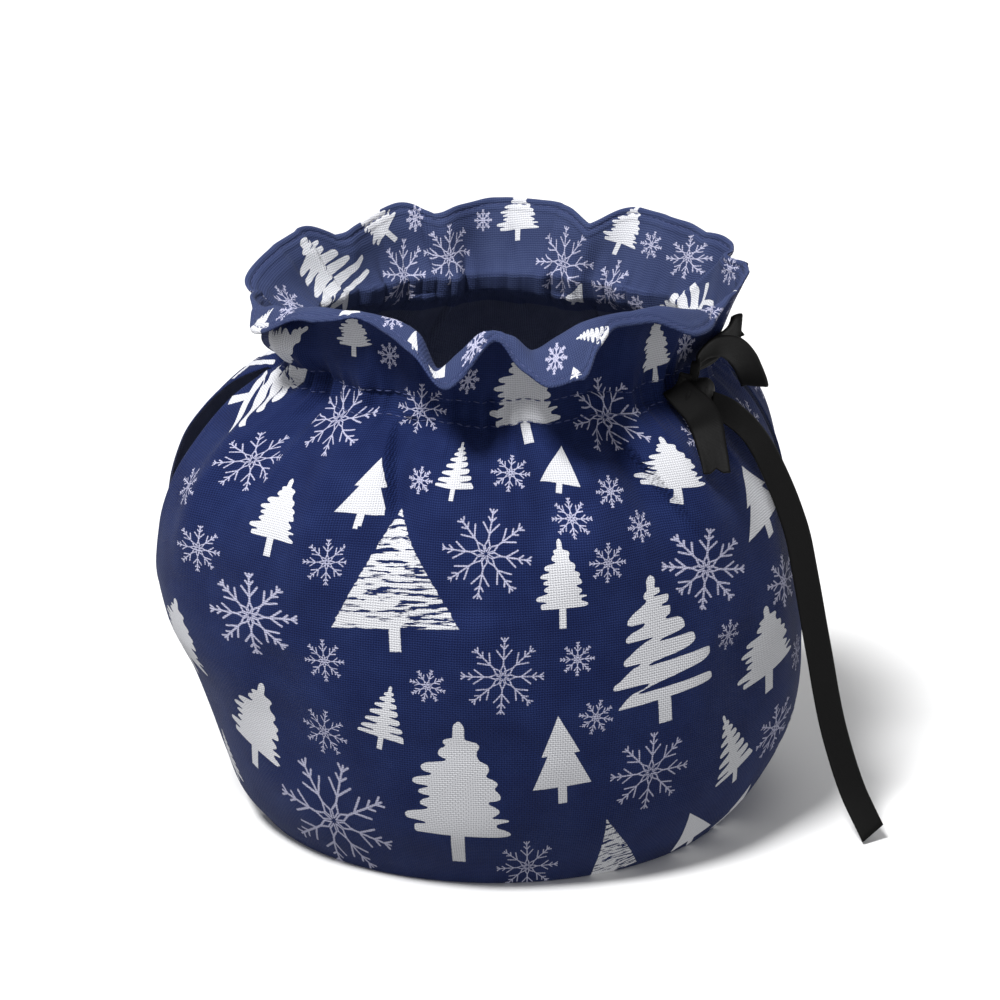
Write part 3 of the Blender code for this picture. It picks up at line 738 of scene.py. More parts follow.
# The print's layout as charted, by kind: angle round the neck in degrees, height, width, length along the cloth
# and tilt in degrees, clockwise. The back has the front's layout mirrored.
OUTER_MOTIFS = {
    "striped": (
        (251.2, 102.0, 36.5, 41.5, -4), (296.3, 9.0, 16.2, 36.0, -18),
    ),
    "scribble": (
        (301.4, 77.9, 36.4, 47.0, -5), (197.5, 139.0, 33.0, 36.0, 44),
    ),
    "fir": (
        (262.9, 34.9, 33.2, 54.3, 2), (282.4, 102.2, 15.5, 26.5, 0), (225.2, 114.7, 19.1, 24.2, 0),
        (219.2, 45.2, 23.1, 37.6, 22), (330.5, 64.7, 32.5, 30.6, -9), (310.1, 128.1, 19.1, 22.2, 6),
        (199.0, 64.7, 30.0, 32.0, 12), (351.0, 27.0, 19.0, 26.0, 0), (277.7, 149.7, 20.1, 32.0, -4),
        (316.3, 159.4, 10.8, 23.3, -12), (230.8, 166.0, 13.0, 14.5, 5), (207.0, 155.4, 17.0, 20.0, 75),
    ),
    "tiers": (
        (282.2, 47.3, 18.0, 30.9, -5), (243.3, 125.4, 14.2, 22.6, 4), (334.2, 109.6, 27.0, 23.5, -10),
        (335.0, 7.0, 16.0, 22.0, 0),
    ),
    "zigzag": (
        (261.7, 132.8, 11.0, 19.1, 5), (249.9, 60.3, 15.1, 22.6, 12), (320.8, 36.9, 18.0, 29.5, -24),
        (198.5, 22.0, 16.0, 20.0, 6),
    ),
    "plain": (
        (285.1, 131.7, 11.4, 15.8, 12), (317.5, 9.0, 16.0, 26.0, -32), (192.5, 4.0, 14.0, 18.0, 0),
    ),
    "flake": (
        (235.3, 18.9, 39.5, 49.6, 18), (222.7, 84.2, 36.6, 27.0, -7), (268.3, 111.3, 27.0, 27.0, 10),
        (271.4, 75.7, 24.8, 24.8, 3), (313.4, 98.3, 33.4, 24.9, 14), (300.8, 141.5, 21.0, 27.5, -6),
        (227.4, 139.5, 23.0, 28.0, -16), (300.2, 38.9, 26.4, 27.1, 1), (277.1, 7.3, 18.6, 26.0, -4),
        (212.1, 125.4, 20.3, 21.3, -16), (249.4, 145.2, 16.4, 16.8, 4), (336.8, 34.9, 24.4, 17.3, -14),
        (338.5, 82.1, 27.0, 16.0, 10), (208.2, 98.3, 20.1, 14.6, -4), (238.4, 106.0, 14.3, 14.0, -3),
        (238.6, 75.7, 13.3, 14.2, -5), (237.2, 51.6, 16.3, 16.5, 13), (200.0, 113.0, 15.0, 12.0, 0),
        (258.0, 72.0, 11.0, 11.0, 14), (253.7, 129.4, 8.1, 8.6, -1), (273.5, 131.5, 11.5, 11.5, 9),
        (285.5, 119.5, 11.5, 11.5, 0), (291.5, 107.0, 12.0, 12.0, 6), (285.0, 79.5, 10.5, 10.5, 2),
        (288.5, 60.5, 11.0, 11.5, 15), (295.0, 125.0, 9.5, 9.5, 7), (300.0, 114.5, 9.0, 9.0, 4),
        (318.0, 76.0, 9.5, 9.5, 10), (323.1, 131.7, 15.0, 14.0, 48), (186.0, 32.0, 22.0, 24.0, 5),
        (193.5, 52.0, 11.0, 11.0, 0), (345.0, 55.0, 12.0, 12.0, 9), (350.0, 104.0, 13.0, 13.0, 3),
        (346.0, 128.5, 16.0, 16.0, 11), (240.4, 160.5, 6.8, 9.1, 10), (262.9, 155.8, 6.2, 9.2, 8),
        (291.5, 160.0, 9.0, 9.0, 0), (327.8, 156.9, 7.2, 13.6, -28), (345.0, 164.0, 13.0, 13.0, 0),
        (190.0, 156.5, 11.0, 12.0, 5), (356.0, 154.0, 9.0, 9.0, 0),
    ),
}
INNER_MOTIFS = {
    "scribble": (
        (141.4, 153.9, 28.0, 30.0, -14), (26.4, 149.0, 13.7, 35.0, -111),
    ),
    "fir": (
        (54.7, 164.1, 13.1, 16.6, 15), (84.2, 164.0, 14.0, 16.0, -1), (122.1, 165.6, 14.3, 20.4, -43),
        (296.0, 152.0, 12.0, 16.0, -30), (222.0, 154.0, 12.0, 16.0, 8),
    ),
    "plain": (
        (65.6, 143.5, 5.0, 9.2, 20), (182.0, 149.5, 9.0, 12.0, 0),
    ),
    "flake": (
        (117.0, 149.2, 14.8, 23.7, 15), (103.5, 154.1, 14.1, 19.8, 5), (70.1, 152.1, 18.6, 24.1, -2),
        (55.3, 146.6, 13.3, 19.7, 7), (32.2, 161.5, 20.0, 13.7, -14), (45.7, 161.2, 9.0, 8.7, 0),
        (45.0, 143.8, 5.7, 7.0, 15), (110.6, 164.8, 5.5, 7.9, 8), (93.2, 162.8, 5.8, 6.7, 1),
        (160.0, 151.1, 10.0, 13.0, 5), (176.0, 158.0, 9.0, 9.0, 0), (8.4, 166.2, 10.6, 10.0, -30),
        (5.2, 149.3, 4.7, 8.4, -28), (283.5, 150.0, 9.5, 9.5, 5), (314.0, 157.0, 13.0, 13.0, 7),
        (239.0, 156.0, 13.0, 13.0, 10), (347.0, 158.0, 14.0, 14.0, 3),
    ),
    "zigzag": (
        (256.0, 149.0, 11.0, 13.0, 16),
    ),
    "tiers": (
        (332.0, 156.0, 12.0, 18.0, -6),
    ),
}
# The inner face of the part that is rolled over in front. Its second number is the distance from the rim.
ROLLED_MOTIFS = {
    "fir": (
        (205.0, 2.0, 13.0, 13.0, 70), (339.0, 7.0, 9.0, 15.0, -14),
    ),
    "flake": (
        (212.8, 6.9, 8.5, 10.5, 20), (244.5, 6.0, 8.0, 9.0, 20), (265.5, 6.0, 6.5, 8.5, 10),
        (283.5, 9.9, 6.2, 10.0, -10), (328.0, 3.0, 9.0, 9.0, 12),
    ),
    "plain": (
        (232.0, 5.0, 7.0, 8.0, 150), (251.4, 5.0, 4.0, 6.5, 165), (258.2, 6.0, 6.0, 8.0, 200),
        (286.3, 2.6, 3.4, 4.6, 180),
    ),
    "zigzag": (
        (293.3, 4.5, 8.0, 13.0, 115),
    ),
}
SMALLEST_STROKE = 0.3  # the thinnest line of ink, in millimetres
STROKE_SHARE = 0.0165  # a snowflake's line as a share of its width
MOTIF_REACH = 1.75  # how far from its middle a motif may print, in halves of its size
PRINT_RADIUS = 74.0  # the most that the print takes the collar's radius to be
WEAVE_RADIUS = 88.0  # the weave is laid round the cloth as if this were its radius

# ---------------------------------------------------------------- canvas
# Each cloth below is darker between the threads and paler on them: partly the weave, partly painted shade and light.
NAVY = (linear(10, 20, 60), linear(22, 37, 84), linear(46, 61, 110))  # between the threads, plain, on the threads
NAVY_INSIDE_LIT = (linear(44, 53, 90), linear(58, 69, 106), linear(76, 87, 124))  # inner face, with painted light
REVERSE = (linear(60, 66, 92), linear(84, 90, 116), linear(104, 110, 134))  # the cloth's unprinted side
FLAKE_INK = linear(196, 196, 222)
TREE_INK = linear(234, 235, 240)
PITCH = 0.74  # between two threads
WEAVE_DEPTH = 0.00022  # metres, like all depths of bumps


def weave(tree):
    """The cloth's threads: their height, 0 to 1, the place on the cloth in millimetres, and a slow unevenness."""
    u, v = cloth_place(tree)
    slow = noise(tree, combine(tree, u * 0.05, v * 0.05), 1.0, 2.0)
    bend = (slow - 0.5) * 1.6
    across = (u + bend) * (math.pi / PITCH)
    up = (v + bend) * (math.pi / PITCH)
    warp = across.sine() * across.sine()
    weft = up.sine() * up.sine()
    over = (across.cosine() * up.cosine() * 1.8 + 0.5).clamped()
    height = warp * over + weft * (1.0 - over)
    return height, u, v, slow


def canvas(name, drawing=None, ink=TREE_INK, cloth=NAVY):
    """Canvas with one kind of motif printed on it, or none."""
    material, tree, shader = fresh_material(name)
    height, u, v, slow = weave(tree)
    between, plain, raised = cloth
    # A slow random mottling of the threads' brightness: painted light and shade standing in for the shading of folds.
    fold_shade_mottle = noise(tree, combine(tree, u, v), 0.07, 3.0, 0.6)
    thread = (height * 0.8 + (fold_shade_mottle - 0.5) * 0.9).clamped()
    # Darker in the gaps, paler on the threads: partly the weave's own look, partly painted shade and light.
    dark = mixed(tree, (thread * 2.0).clamped(), between, plain)
    lit = mixed(tree, (thread * 1.4 - 0.75).clamped(), dark, raised)
    colour = lit
    if drawing:
        place = tree.nodes.new("ShaderNodeAttribute")
        place.attribute_name = "motif"
        x, y, line = separate(tree, place.outputs["Vector"])
        fuzz = (noise(tree, combine(tree, u, v), 1.3, 2.0) - 0.5) * 0.02
        outside = drawing(tree, x, y, line) + fuzz
        inked = (0.55 - outside / (line * 0.5 + 0.004)).clamped()
        # Ink thinner and darker between the threads: partly print sitting on them, partly painted shade in the gaps.
        body = inked * ((height * 0.55 + 0.72).clamped())
        pale = mixed(tree, (height * 0.8 + 0.35).clamped(), tuple(c * 0.72 for c in ink), ink)
        colour = mixed(tree, body, lit, pale)
    tree.links.new(colour, shader.inputs["Base Color"])
    plug(tree, shader.inputs["Roughness"], slow * 0.15 + 0.7)
    configure(shader, Sheen_Weight=0.03, Sheen_Roughness=0.4, Sheen_Tint=(0.8, 0.85, 1.0, 1.0), Specular_IOR_Level=0.14)
    add_bump(tree, shader, height, 0.7, WEAVE_DEPTH)
    return material


def make_canvas_set():
    """The plain cloth, its reverse, and each kind of motif on the outer face and on the collar's inner face."""
    made = [
        canvas("canvas_unprinted"),
        canvas("canvas_reverse", cloth=REVERSE),
        # The collar's inner face has its own copies, in a paler navy: painted light for the light and sheen on it.
        canvas("canvas_inside_unprinted", cloth=NAVY_INSIDE_LIT),
    ]
    for place, cloth in (("", NAVY), ("inside_", NAVY_INSIDE_LIT)):
        for kind, drawing in MOTIF_DRAWINGS.items():
            ink = FLAKE_INK if kind == "flake" else TREE_INK
            made.append(canvas(f"canvas_{place}{kind}", drawing, ink, cloth))
    return made


UNPRINTED, REVERSE_SIDE, INSIDE_UNPRINTED, FIRST_MOTIF = 0, 1, 2, 3
FIRST_INSIDE = FIRST_MOTIF + len(MOTIF_KINDS)


def motif_rows(table, from_rim=False):
    """A table's motifs in one list: the kind's number, the row, and if its height counts down from the rim."""
    return [(MOTIF_KINDS.index(kind), *row, from_rim) for kind, rows in table.items() for row in rows]


def layout_for(wall):
    """The motifs of both faces: kind, angle, place along the cloth, size, tilt, stroke and radius."""
    outer = motif_rows(OUTER_MOTIFS)
    outer += [(kind, 360 - angle, *size, -tilt, flag) for kind, angle, *size, tilt, flag in outer]
    result = []
    for rows in (outer, motif_rows(INNER_MOTIFS) + motif_rows(ROLLED_MOTIFS, True)):
        found = []
        for kind, angle, height, width, length, tilt, from_rim in rows:
            column = int(np.argmin(np.abs(turn_between(wall.angle[-1], angle))))
            run = wall.along[:, column]
            if from_rim:
                along = float(run[-1]) - height
            else:
                heights = wall.points[HEM_ROWS:, column, 2]
                highest = int(np.argmax(heights)) + 1
                along = float(np.interp(height, heights[:highest], run[HEM_ROWS:][:highest]))
            row = int(np.argmin(np.abs(run - along)))
            radius = float(np.hypot(*wall.points[row, column, :2]))
            if row > wall.casing_row:
                radius = min(radius, PRINT_RADIUS)
            pen = max(SMALLEST_STROKE, width * STROKE_SHARE)
            found.append((kind, angle, along, width, length, math.radians(tilt), pen, radius))
        result.append(np.array(found, float))
    return result


def in_motif(angle, along, motif, way):
    """Where points are in a motif's own square."""
    _, at, centre, width, length, tilt, _, radius = motif
    dx = np.radians(turn_between(angle, at)) * radius * way
    dy = along - centre
    x = (dx * math.cos(tilt) - dy * math.sin(tilt)) / (width / 2)
    y = (dx * math.sin(tilt) + dy * math.cos(tilt)) / (length / 2)
    return x, y


def motif_places(angle, along, table, way):
    """For quads' corners (quads x 4 of angle and place along the cloth), the nearest motif's kind, or -1, and each
    corner's place in that motif's own square. way is -1 on the inner face, which is seen from its other side."""
    middle = angle.mean(axis=1), along.mean(axis=1)
    best = np.full(len(angle), MOTIF_REACH)
    kind = np.full(len(angle), -1, int)
    place = np.zeros((len(angle), 4, 3))
    for motif in table:
        far = np.hypot(*in_motif(*middle, motif, way))
        near = far < best
        best[near] = far[near]
        which, _, _, width, length, _, pen, _ = motif
        kind[near] = int(which)
        x, y = in_motif(angle[near], along[near], motif, way)
        place[near] = np.stack([x, y, np.full(x.shape, pen / min(width, length))], axis=-1)
    return kind, place


def closed_sheet(outer, inner):
    """The vertices of a sheet's two faces, and the quads of the outer face, the inner one and the edge between."""
    rows, across = outer.shape[:2]
    count = rows * across
    grid = np.arange(count).reshape(rows, across)
    flat = np.stack([grid[:-1, :-1], grid[:-1, 1:], grid[1:, 1:], grid[1:, :-1]], axis=-1).reshape(-1, 4)
    quads = [flat, flat[:, ::-1] + count]
    for line, inwards in ((grid[0], True), (grid[-1], False), (grid[:, 0], False), (grid[:, -1], True)):
        a, b = line[:-1], line[1:]
        quads.append(np.stack([a, a + count, b + count, b] if inwards else [a, b, b + count, a + count], axis=1))
    return np.concatenate([outer.reshape(-1, 3), inner.reshape(-1, 3)]), np.concatenate(quads)


def to_world(points):
    """Metres in the frame, from millimetres round the neck's axis."""
    return points.reshape(-1, 3) * MM + np.array([*MIDDLE, 0.0])


def mesh_object(name, vertices, faces, materials):
    mesh = bpy.data.meshes.new(name)
    mesh.from_pydata(vertices.tolist(), [], faces)
    for material in materials:
        mesh.materials.append(material)
    mesh.shade_smooth()
    obj = bpy.data.objects.new(name, mesh)
    bpy.context.scene.collection.objects.link(obj)
    return obj


def lay_weave(obj, corners):
    """Each corner's place on the cloth, in millimetres."""
    layer = obj.data.uv_layers.new(name="weave")
    layer.data.foreach_set("uv", corners.reshape(-1).astype(np.float32))


def make_panel(name, sides, materials):
    """One panel: its two faces, the narrow edge between them, and the print's places."""
    wall = Wall(*sides)
    outer, inner = finished_cloth(wall)
    vertices, faces = closed_sheet(outer, inner)
    obj = mesh_object(name, to_world(vertices), faces.tolist(), materials)
    angle, along = (np.tile(grid[:, 1:-1].reshape(-1), 2)[faces] for grid in (wall.angle, wall.along))
    outer_table, inner_table = layout_for(wall)
    quads = (len(outer) - 1) * COLUMNS
    slot = np.zeros(len(faces), int)
    place = np.zeros((len(faces), 4, 3))
    on_outer, on_inner = (outer_table, 1.0, UNPRINTED, FIRST_MOTIF), (inner_table, -1.0, INSIDE_UNPRINTED, FIRST_INSIDE)
    for start, end, side in ((0, quads, on_outer), (quads, 2 * quads, on_inner), (2 * quads, len(faces), on_outer)):
        table, way, plain, printed = side
        kind, place[start:end] = motif_places(angle[start:end], along[start:end], table, way)
        slot[start:end] = np.where(kind < 0, plain, kind + printed)
    slot[quads : quads + (wall.casing_row - FACING_ROWS) * COLUMNS] = REVERSE_SIDE
    obj.data.polygons.foreach_set("material_index", slot.astype(np.int32))
    lay_weave(obj, np.stack([np.radians(angle) * WEAVE_RADIUS, along], axis=-1))
    attribute = obj.data.attributes.new("motif", "FLOAT_VECTOR", "CORNER")
    attribute.data.foreach_set("vector", place.reshape(-1).astype(np.float32))
    obj.data.update()
    return obj, wall, outer, inner


# ---------------------------------------------------------------- ribbon
RIBBON_WIDTH = 8.2
RIBBON_THICKNESS = 0.7
RIBBON_COLUMNS = ("x", "y", "z", "heading", "rise")
TAIL_LONG = (
    (64.0, -40.0, 140.4, 312, 24), (68.6, -38.2, 138.0, 311, 30), (72.6, -36.8, 134.6, 309, 32),
    (76.2, -35.4, 130.4, 305, 28), (79.8, -34.0, 124.6, 301, 22), (84.2, -33.0, 115.2, 297, 15),
    (88.2, -32.2, 105.0, 294, 12), (91.3, -31.6, 95.0, 292, 10), (93.3, -31.3, 85.0, 290, 8),
    (95.2, -31.2, 75.0, 289, 6), (97.0, -31.2, 65.0, 288, 5), (98.9, -31.4, 55.0, 287, 5),
    (100.7, -31.8, 45.0, 286, 6), (102.8, -32.6, 35.0, 285, 8), (105.6, -34.4, 25.0, 284, 11),
    (109.3, -37.4, 14.5, 283, 16), (115.4, -43.0, 2.6, 281, 28),
)
# The bow's ribbons face forwards and up. A row: the middle, the roll of the ribbon's width in degrees, and its width
# as a share of the ribbon's own.
BOW_SHORT = (
    (58.6, -40.2, 145.4, 50, 0.90), (56.0, -41.2, 146.6, 48, 0.95), (53.5, -42.2, 147.3, 47, 0.98),
    (53.2, -43.6, 147.0, 47, 1.00), (56.3, -45.8, 144.5, 49, 1.10), (60.1, -47.5, 141.1, 42, 1.20),
    (62.4, -49.0, 136.7, 22, 1.20), (63.6, -52.5, 132.6, 13, 1.10), (64.6, -56.1, 128.8, 8, 1.02),
    (65.2, -58.8, 125.7, 5, 0.98),
)
BOW_UPPER = (
    (58.9, -39.0, 147.5, 18, 0.26), (59.7, -37.2, 150.6, 60, 0.36), (62.7, -32.3, 153.3, 84, 0.72),
    (67.0, -26.1, 154.3, 76, 0.92), (69.9, -21.0, 154.8, 80, 0.95), (72.1, -16.9, 156.4, 82, 0.96),
    (73.4, -14.9, 156.7, 84, 0.90), (72.9, -13.9, 156.3, 84, 0.84), (70.9, -15.8, 155.0, 76, 0.72),
    (68.5, -19.6, 153.4, 69, 0.78), (66.2, -25.0, 152.5, 77, 0.78), (62.0, -31.4, 151.7, 80, 0.70),
    (59.3, -36.2, 150.0, 60, 0.36), (58.6, -38.4, 147.4, 18, 0.26),
)
BOW_LOWER = (
    (58.3, -40.6, 147.6, 18, 0.28), (58.8, -39.6, 150.8, 24, 0.30), (60.1, -38.2, 153.8, 62, 0.42),
    (63.5, -35.2, 156.1, 62, 0.68), (67.5, -31.6, 156.0, 64, 0.80), (71.3, -27.2, 153.4, 50, 0.96),
    (74.4, -22.2, 148.5, 29, 1.00), (76.4, -18.2, 143.4, 12, 1.00), (78.0, -15.4, 138.9, -2, 1.00),
    (78.3, -13.6, 137.6, -6, 1.00), (78.1, -11.6, 137.8, -4, 1.00), (76.6, -13.0, 141.9, 10, 1.00),
    (74.4, -17.6, 147.0, 29, 1.00), (71.2, -24.0, 152.2, 50, 0.94), (67.5, -29.4, 155.0, 64, 0.78),
    (63.4, -33.8, 155.3, 62, 0.66), (60.1, -37.0, 153.2, 62, 0.40), (59.2, -39.0, 150.4, 24, 0.30),
    (58.8, -40.0, 147.4, 18, 0.28),
)
RIGHTWARDS = (1.0, 0.0, 0.0)
UPWARDS = (0.0, 0.35, 0.937)
KNOT_MIDDLE = (60.4, -40.0, 143.6)
KNOT_SIZE = (6.4, 14.6, 9.2)
KNOT_TURN = -33.5
RIBBON_STEPS = 8  # in each row of a ribbon's table
RIBBON_ACROSS = 12  # quads across it
RIB_DEPTH = 0.00008  # metres
CURL = 0.35  # the most that a ribbon bends about its middle
BLACK = linear(3, 3, 3)
BLACK_PALE = linear(13, 12, 13)


def ribbon_material():
    """Thin black woven ribbon: fine ribs across it and a firm edge on each side."""
    material, tree, shader = fresh_material("black_woven_ribbon")
    u, v = cloth_place(tree)
    rib = ((v * (math.tau / 0.42)).sine() * 0.5 + 0.5) * 0.7 + ((u * (math.tau / 0.36)).sine() * 0.5 + 0.5) * 0.3
    fluff = noise(tree, combine(tree, u, v * 0.4), 1.1, 4.0, 0.6)
    edge = (abs(u) - (RIBBON_WIDTH / 2 - 0.7)).above(0.0)
    share = (rib * 0.25 + (fluff - 0.42) * 0.9 + edge * 0.15).clamped()
    tree.links.new(mixed(tree, share, BLACK, BLACK_PALE), shader.inputs["Base Color"])
    plug(tree, shader.inputs["Roughness"], fluff * 0.2 + 0.5)
    configure(shader, Sheen_Weight=0.01, Sheen_Roughness=0.5, Specular_IOR_Level=0.12)
    add_bump(tree, shader, rib + fluff * 0.6, 0.5, RIB_DEPTH)
    return material


def ribbon_line(table, steps):
    """A ribbon's middle line and its face directions, smooth through the table's rows."""
    rows = columns(table, RIBBON_COLUMNS)
    station = np.arange(len(table), dtype=float)
    at = np.linspace(0, len(table) - 1, (len(table) - 1) * steps + 1)
    line = np.stack([monotone(station, rows[axis], at) for axis in "xyz"], axis=-1)
    heading = np.radians(monotone(station, rows["heading"], at))
    rise = np.radians(monotone(station, rows["rise"], at))
    face = np.stack([np.cos(rise) * np.cos(heading), np.cos(rise) * np.sin(heading), np.sin(rise)], axis=-1)
    return line, face


def strip(name, line, face, material, curl, pinch, end_cut=None):
    """A closed flat strip along a line. end_cut moves the last rows along the line, by where each point is across
    it. pinch narrows rows, and curl bends each row about its middle, by its share of the line."""
    along = np.gradient(line, axis=0)
    along /= np.linalg.norm(along, axis=-1, keepdims=True)
    side = np.cross(along, face)
    side /= np.linalg.norm(side, axis=-1, keepdims=True)
    face = np.cross(side, along)
    length = np.concatenate([[0], np.cumsum(np.linalg.norm(np.diff(line, axis=0), axis=-1))])
    share = length / length[-1]
    spread = np.linspace(-1, 1, RIBBON_ACROSS + 1)
    offset = spread[None, :] * (RIBBON_WIDTH / 2) * pinch(share)[:, None]
    lift = curl(share)[:, None] * (1 - spread[None, :] ** 2)
    middle = line[:, None] + side[:, None] * offset[..., None] + face[:, None] * lift[..., None]
    if end_cut:
        reach = np.clip((share - 0.8) / 0.2, 0, 1)
        middle = middle + along[:, None] * (reach[:, None] * end_cut(spread)[None, :])[..., None]
    thick = RIBBON_THICKNESS * (1 + 0.25 * (np.abs(spread) > 0.8)) * np.where(np.abs(spread) > 0.99, 0.6, 1.0)
    normal = face[:, None] * (thick / 2)[None, :, None]
    vertices, faces = closed_sheet(middle + normal, middle - normal)
    obj = mesh_object(name, to_world(vertices), faces.tolist(), [material])
    u = np.tile(spread * RIBBON_WIDTH / 2, 2 * len(line))
    v = np.tile(np.repeat(length, len(spread)), 2)
    lay_weave(obj, np.stack([u[faces], v[faces]], axis=-1))
    return obj


def through(values, steps):
    """A smooth curve through a table's values, with more rows between them."""
    padded = np.concatenate([2 * values[:1] - values[1:2], values, 2 * values[-1:] - values[-2:-1]])
    rows = []
    for i in range(len(values) - 1):
        a, b, c, d = padded[i : i + 4]
        for t in np.arange(steps) / steps:
            straight = 2 * b + (c - a) * t
            rows.append(0.5 * (straight + (2 * a - 5 * b + 4 * c - d) * t**2 + (3 * b - a - 3 * c + d) * t**3))
    return np.array(rows + [values[-1]])


def bow_strip(name, table, material, end_cut=None):
    """A ribbon of the bow, from its table."""
    rows = through(np.array(table, float), RIBBON_STEPS)
    line = rows[:, :3]
    roll = np.radians(rows[:, 3:4])
    side = np.array(RIGHTWARDS) * np.cos(roll) + np.array(UPWARDS) * np.sin(roll)
    face = np.cross(side, np.gradient(line, axis=0))
    return strip(
        name, line, face, material, lambda share: CURL * np.sin(share * 7.0 + 0.6), lambda share: rows[:, 4], end_cut
    )


# ---------------------------------------------------------------- stitches
THREAD, THREAD_PALE = linear(44, 54, 100), linear(70, 79, 124)
THREAD_DEPTH = 0.0001  # metres
STITCH_SIDES, STITCH_RINGS = 6, 5
FREE_ENDS = 3  # columns at each end of a row that have no stitches
CASING_HEIGHTS = (142.0, 148.6)
# A stitch's length, the gap to the next, its thickness and how far it sinks in
CASING_STITCH, HEM_STITCH, INNER_STITCH = (2.1, 1.0, 0.42, 0.12), (2.0, 0.9, 0.32, 0.2), (1.7, 1.0, 0.36, 0.2)


def thread_material():
    material, tree, shader = fresh_material("sewing_thread")
    coordinates = tree.nodes.new("ShaderNodeTexCoord")
    twist = noise(tree, coordinates.outputs["Object"], 1800.0, 2.0)
    tree.links.new(mixed(tree, twist, THREAD, THREAD_PALE), shader.inputs["Base Color"])
    configure(shader, Roughness=0.6)
    add_bump(tree, shader, twist, 0.5, THREAD_DEPTH)
    return material


def stitch_row(vertices, faces, path, normal, length, gap, thickness, sink):
    """Add stitches along a path over the cloth, as capsules."""
    step = np.linalg.norm(np.diff(path, axis=0), axis=-1)
    run = np.concatenate([[0], np.cumsum(step)])
    starts = np.arange(gap / 2, run[-1] - length, length + gap)
    for start in starts:
        ends = np.array([start, start + length])
        a, b = (np.array([np.interp(e, run, path[:, k]) for k in range(3)]) for e in ends)
        up = np.array([np.interp(start + length / 2, run, normal[:, k]) for k in range(3)])
        up /= np.linalg.norm(up)
        way = (b - a) / np.linalg.norm(b - a)
        side = np.cross(way, up)
        base = len(vertices)
        for ring in range(STITCH_RINGS):
            t = ring / (STITCH_RINGS - 1)
            swell = math.sin(math.pi * (0.12 + 0.76 * t)) ** 0.7
            centre = a + (b - a) * t + up * (thickness * (0.5 * swell - sink * 2))
            for k in range(STITCH_SIDES):
                turn = math.tau * k / STITCH_SIDES
                vertices.append(centre + (side * math.cos(turn) + up * math.sin(turn)) * thickness / 2 * swell)
        for ring in range(STITCH_RINGS - 1):
            for k in range(STITCH_SIDES):
                n = (k + 1) % STITCH_SIDES
                low, high = base + ring * STITCH_SIDES, base + (ring + 1) * STITCH_SIDES
                faces.append([low + k, low + n, high + n, high + k])
        faces.append([base + k for k in range(STITCH_SIDES)][::-1])
        top = base + (STITCH_RINGS - 1) * STITCH_SIDES
        faces.append([top + k for k in range(STITCH_SIDES)])


def path_over(face, rows):
    """A path over a panel's face, at a row for each column that may lie between two, with its normals."""
    normal = normals_of(face)
    path, up = [], []
    for j, at in enumerate(rows):
        i, t = int(at), at - int(at)
        k = min(i + 1, len(face) - 1)
        path.append(face[i, j] * (1 - t) + face[k, j] * t)
        up.append(normal[i, j] * (1 - t) + normal[k, j] * t)
    return np.array(path), np.array(up)


def make_stitches(name, wall, outer, inner, material):
    """The two rows of the casing, and the collar's hem on its outer and inner face."""
    angle = wall.angle[wall.casing_row, 1:-1]
    wander = 0.35 * np.sin(np.radians(angle * 9)) + 0.25 * np.sin(np.radians(angle * 17 + 40))
    body = outer[HEM_ROWS:, :, 2].T
    to_rim = wall.to_rim[::-1, 1:-1].T

    def at_height(height):
        return [np.interp(h, run, np.arange(len(run))) + HEM_ROWS for h, run in zip(height + wander, body)]

    def from_rim(distance):
        return [len(run) - 1 - np.interp(distance, run, np.arange(len(run))) for run in to_rim]

    vertices, faces = [], []
    for face, rows, way, stitch in (
        *((outer, at_height(height), 1, CASING_STITCH) for height in CASING_HEIGHTS),
        (outer, from_rim(HEM_FOLD - STITCH_INSET), 1, HEM_STITCH),
        (inner, from_rim(INNER_STITCHES), -1, INNER_STITCH),
    ):
        path, up = (part[FREE_ENDS:-FREE_ENDS] for part in path_over(face, rows))
        stitch_row(vertices, faces, path, way * up, *stitch)
    return mesh_object(name, to_world(np.array(vertices)), faces, [material])


# ---------------------------------------------------------------- the pieces
canvases = make_canvas_set()
black = ribbon_material()
thread = thread_material()


def short_tail_end(spread):
    """A notched end."""
    return np.where(np.abs(spread) < 0.45, -1.6 * (1 - np.abs(spread) / 0.45), 0.0) + 0.35 * spread


def long_tail_end(spread):
    """A slanted cut."""
    return 1.1 * spread


line, face = ribbon_line(TAIL_LONG, RIBBON_STEPS)
tail_long = strip(
    "ribbon_long_end",
    line,
    face,
    black,
    end_cut=long_tail_end,
    curl=lambda s: CURL * np.sin(s * 9.0),
    pinch=lambda s: 1.0 + 0.08 * np.exp(-(((s - 0.06) / 0.05) ** 2)),
)
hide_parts("ribbon_tail_long")
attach(tail_long, "root")

tail_short = bow_strip("ribbon_short_end", BOW_SHORT, black, short_tail_end)
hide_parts("ribbon_tail_short")
loop_upper = bow_strip("ribbon_upper_loop", BOW_UPPER, black)
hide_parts("ribbon_loop_upper")
loop_lower = bow_strip("ribbon_lower_loop", BOW_LOWER, black)
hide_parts("ribbon_loop_lower")


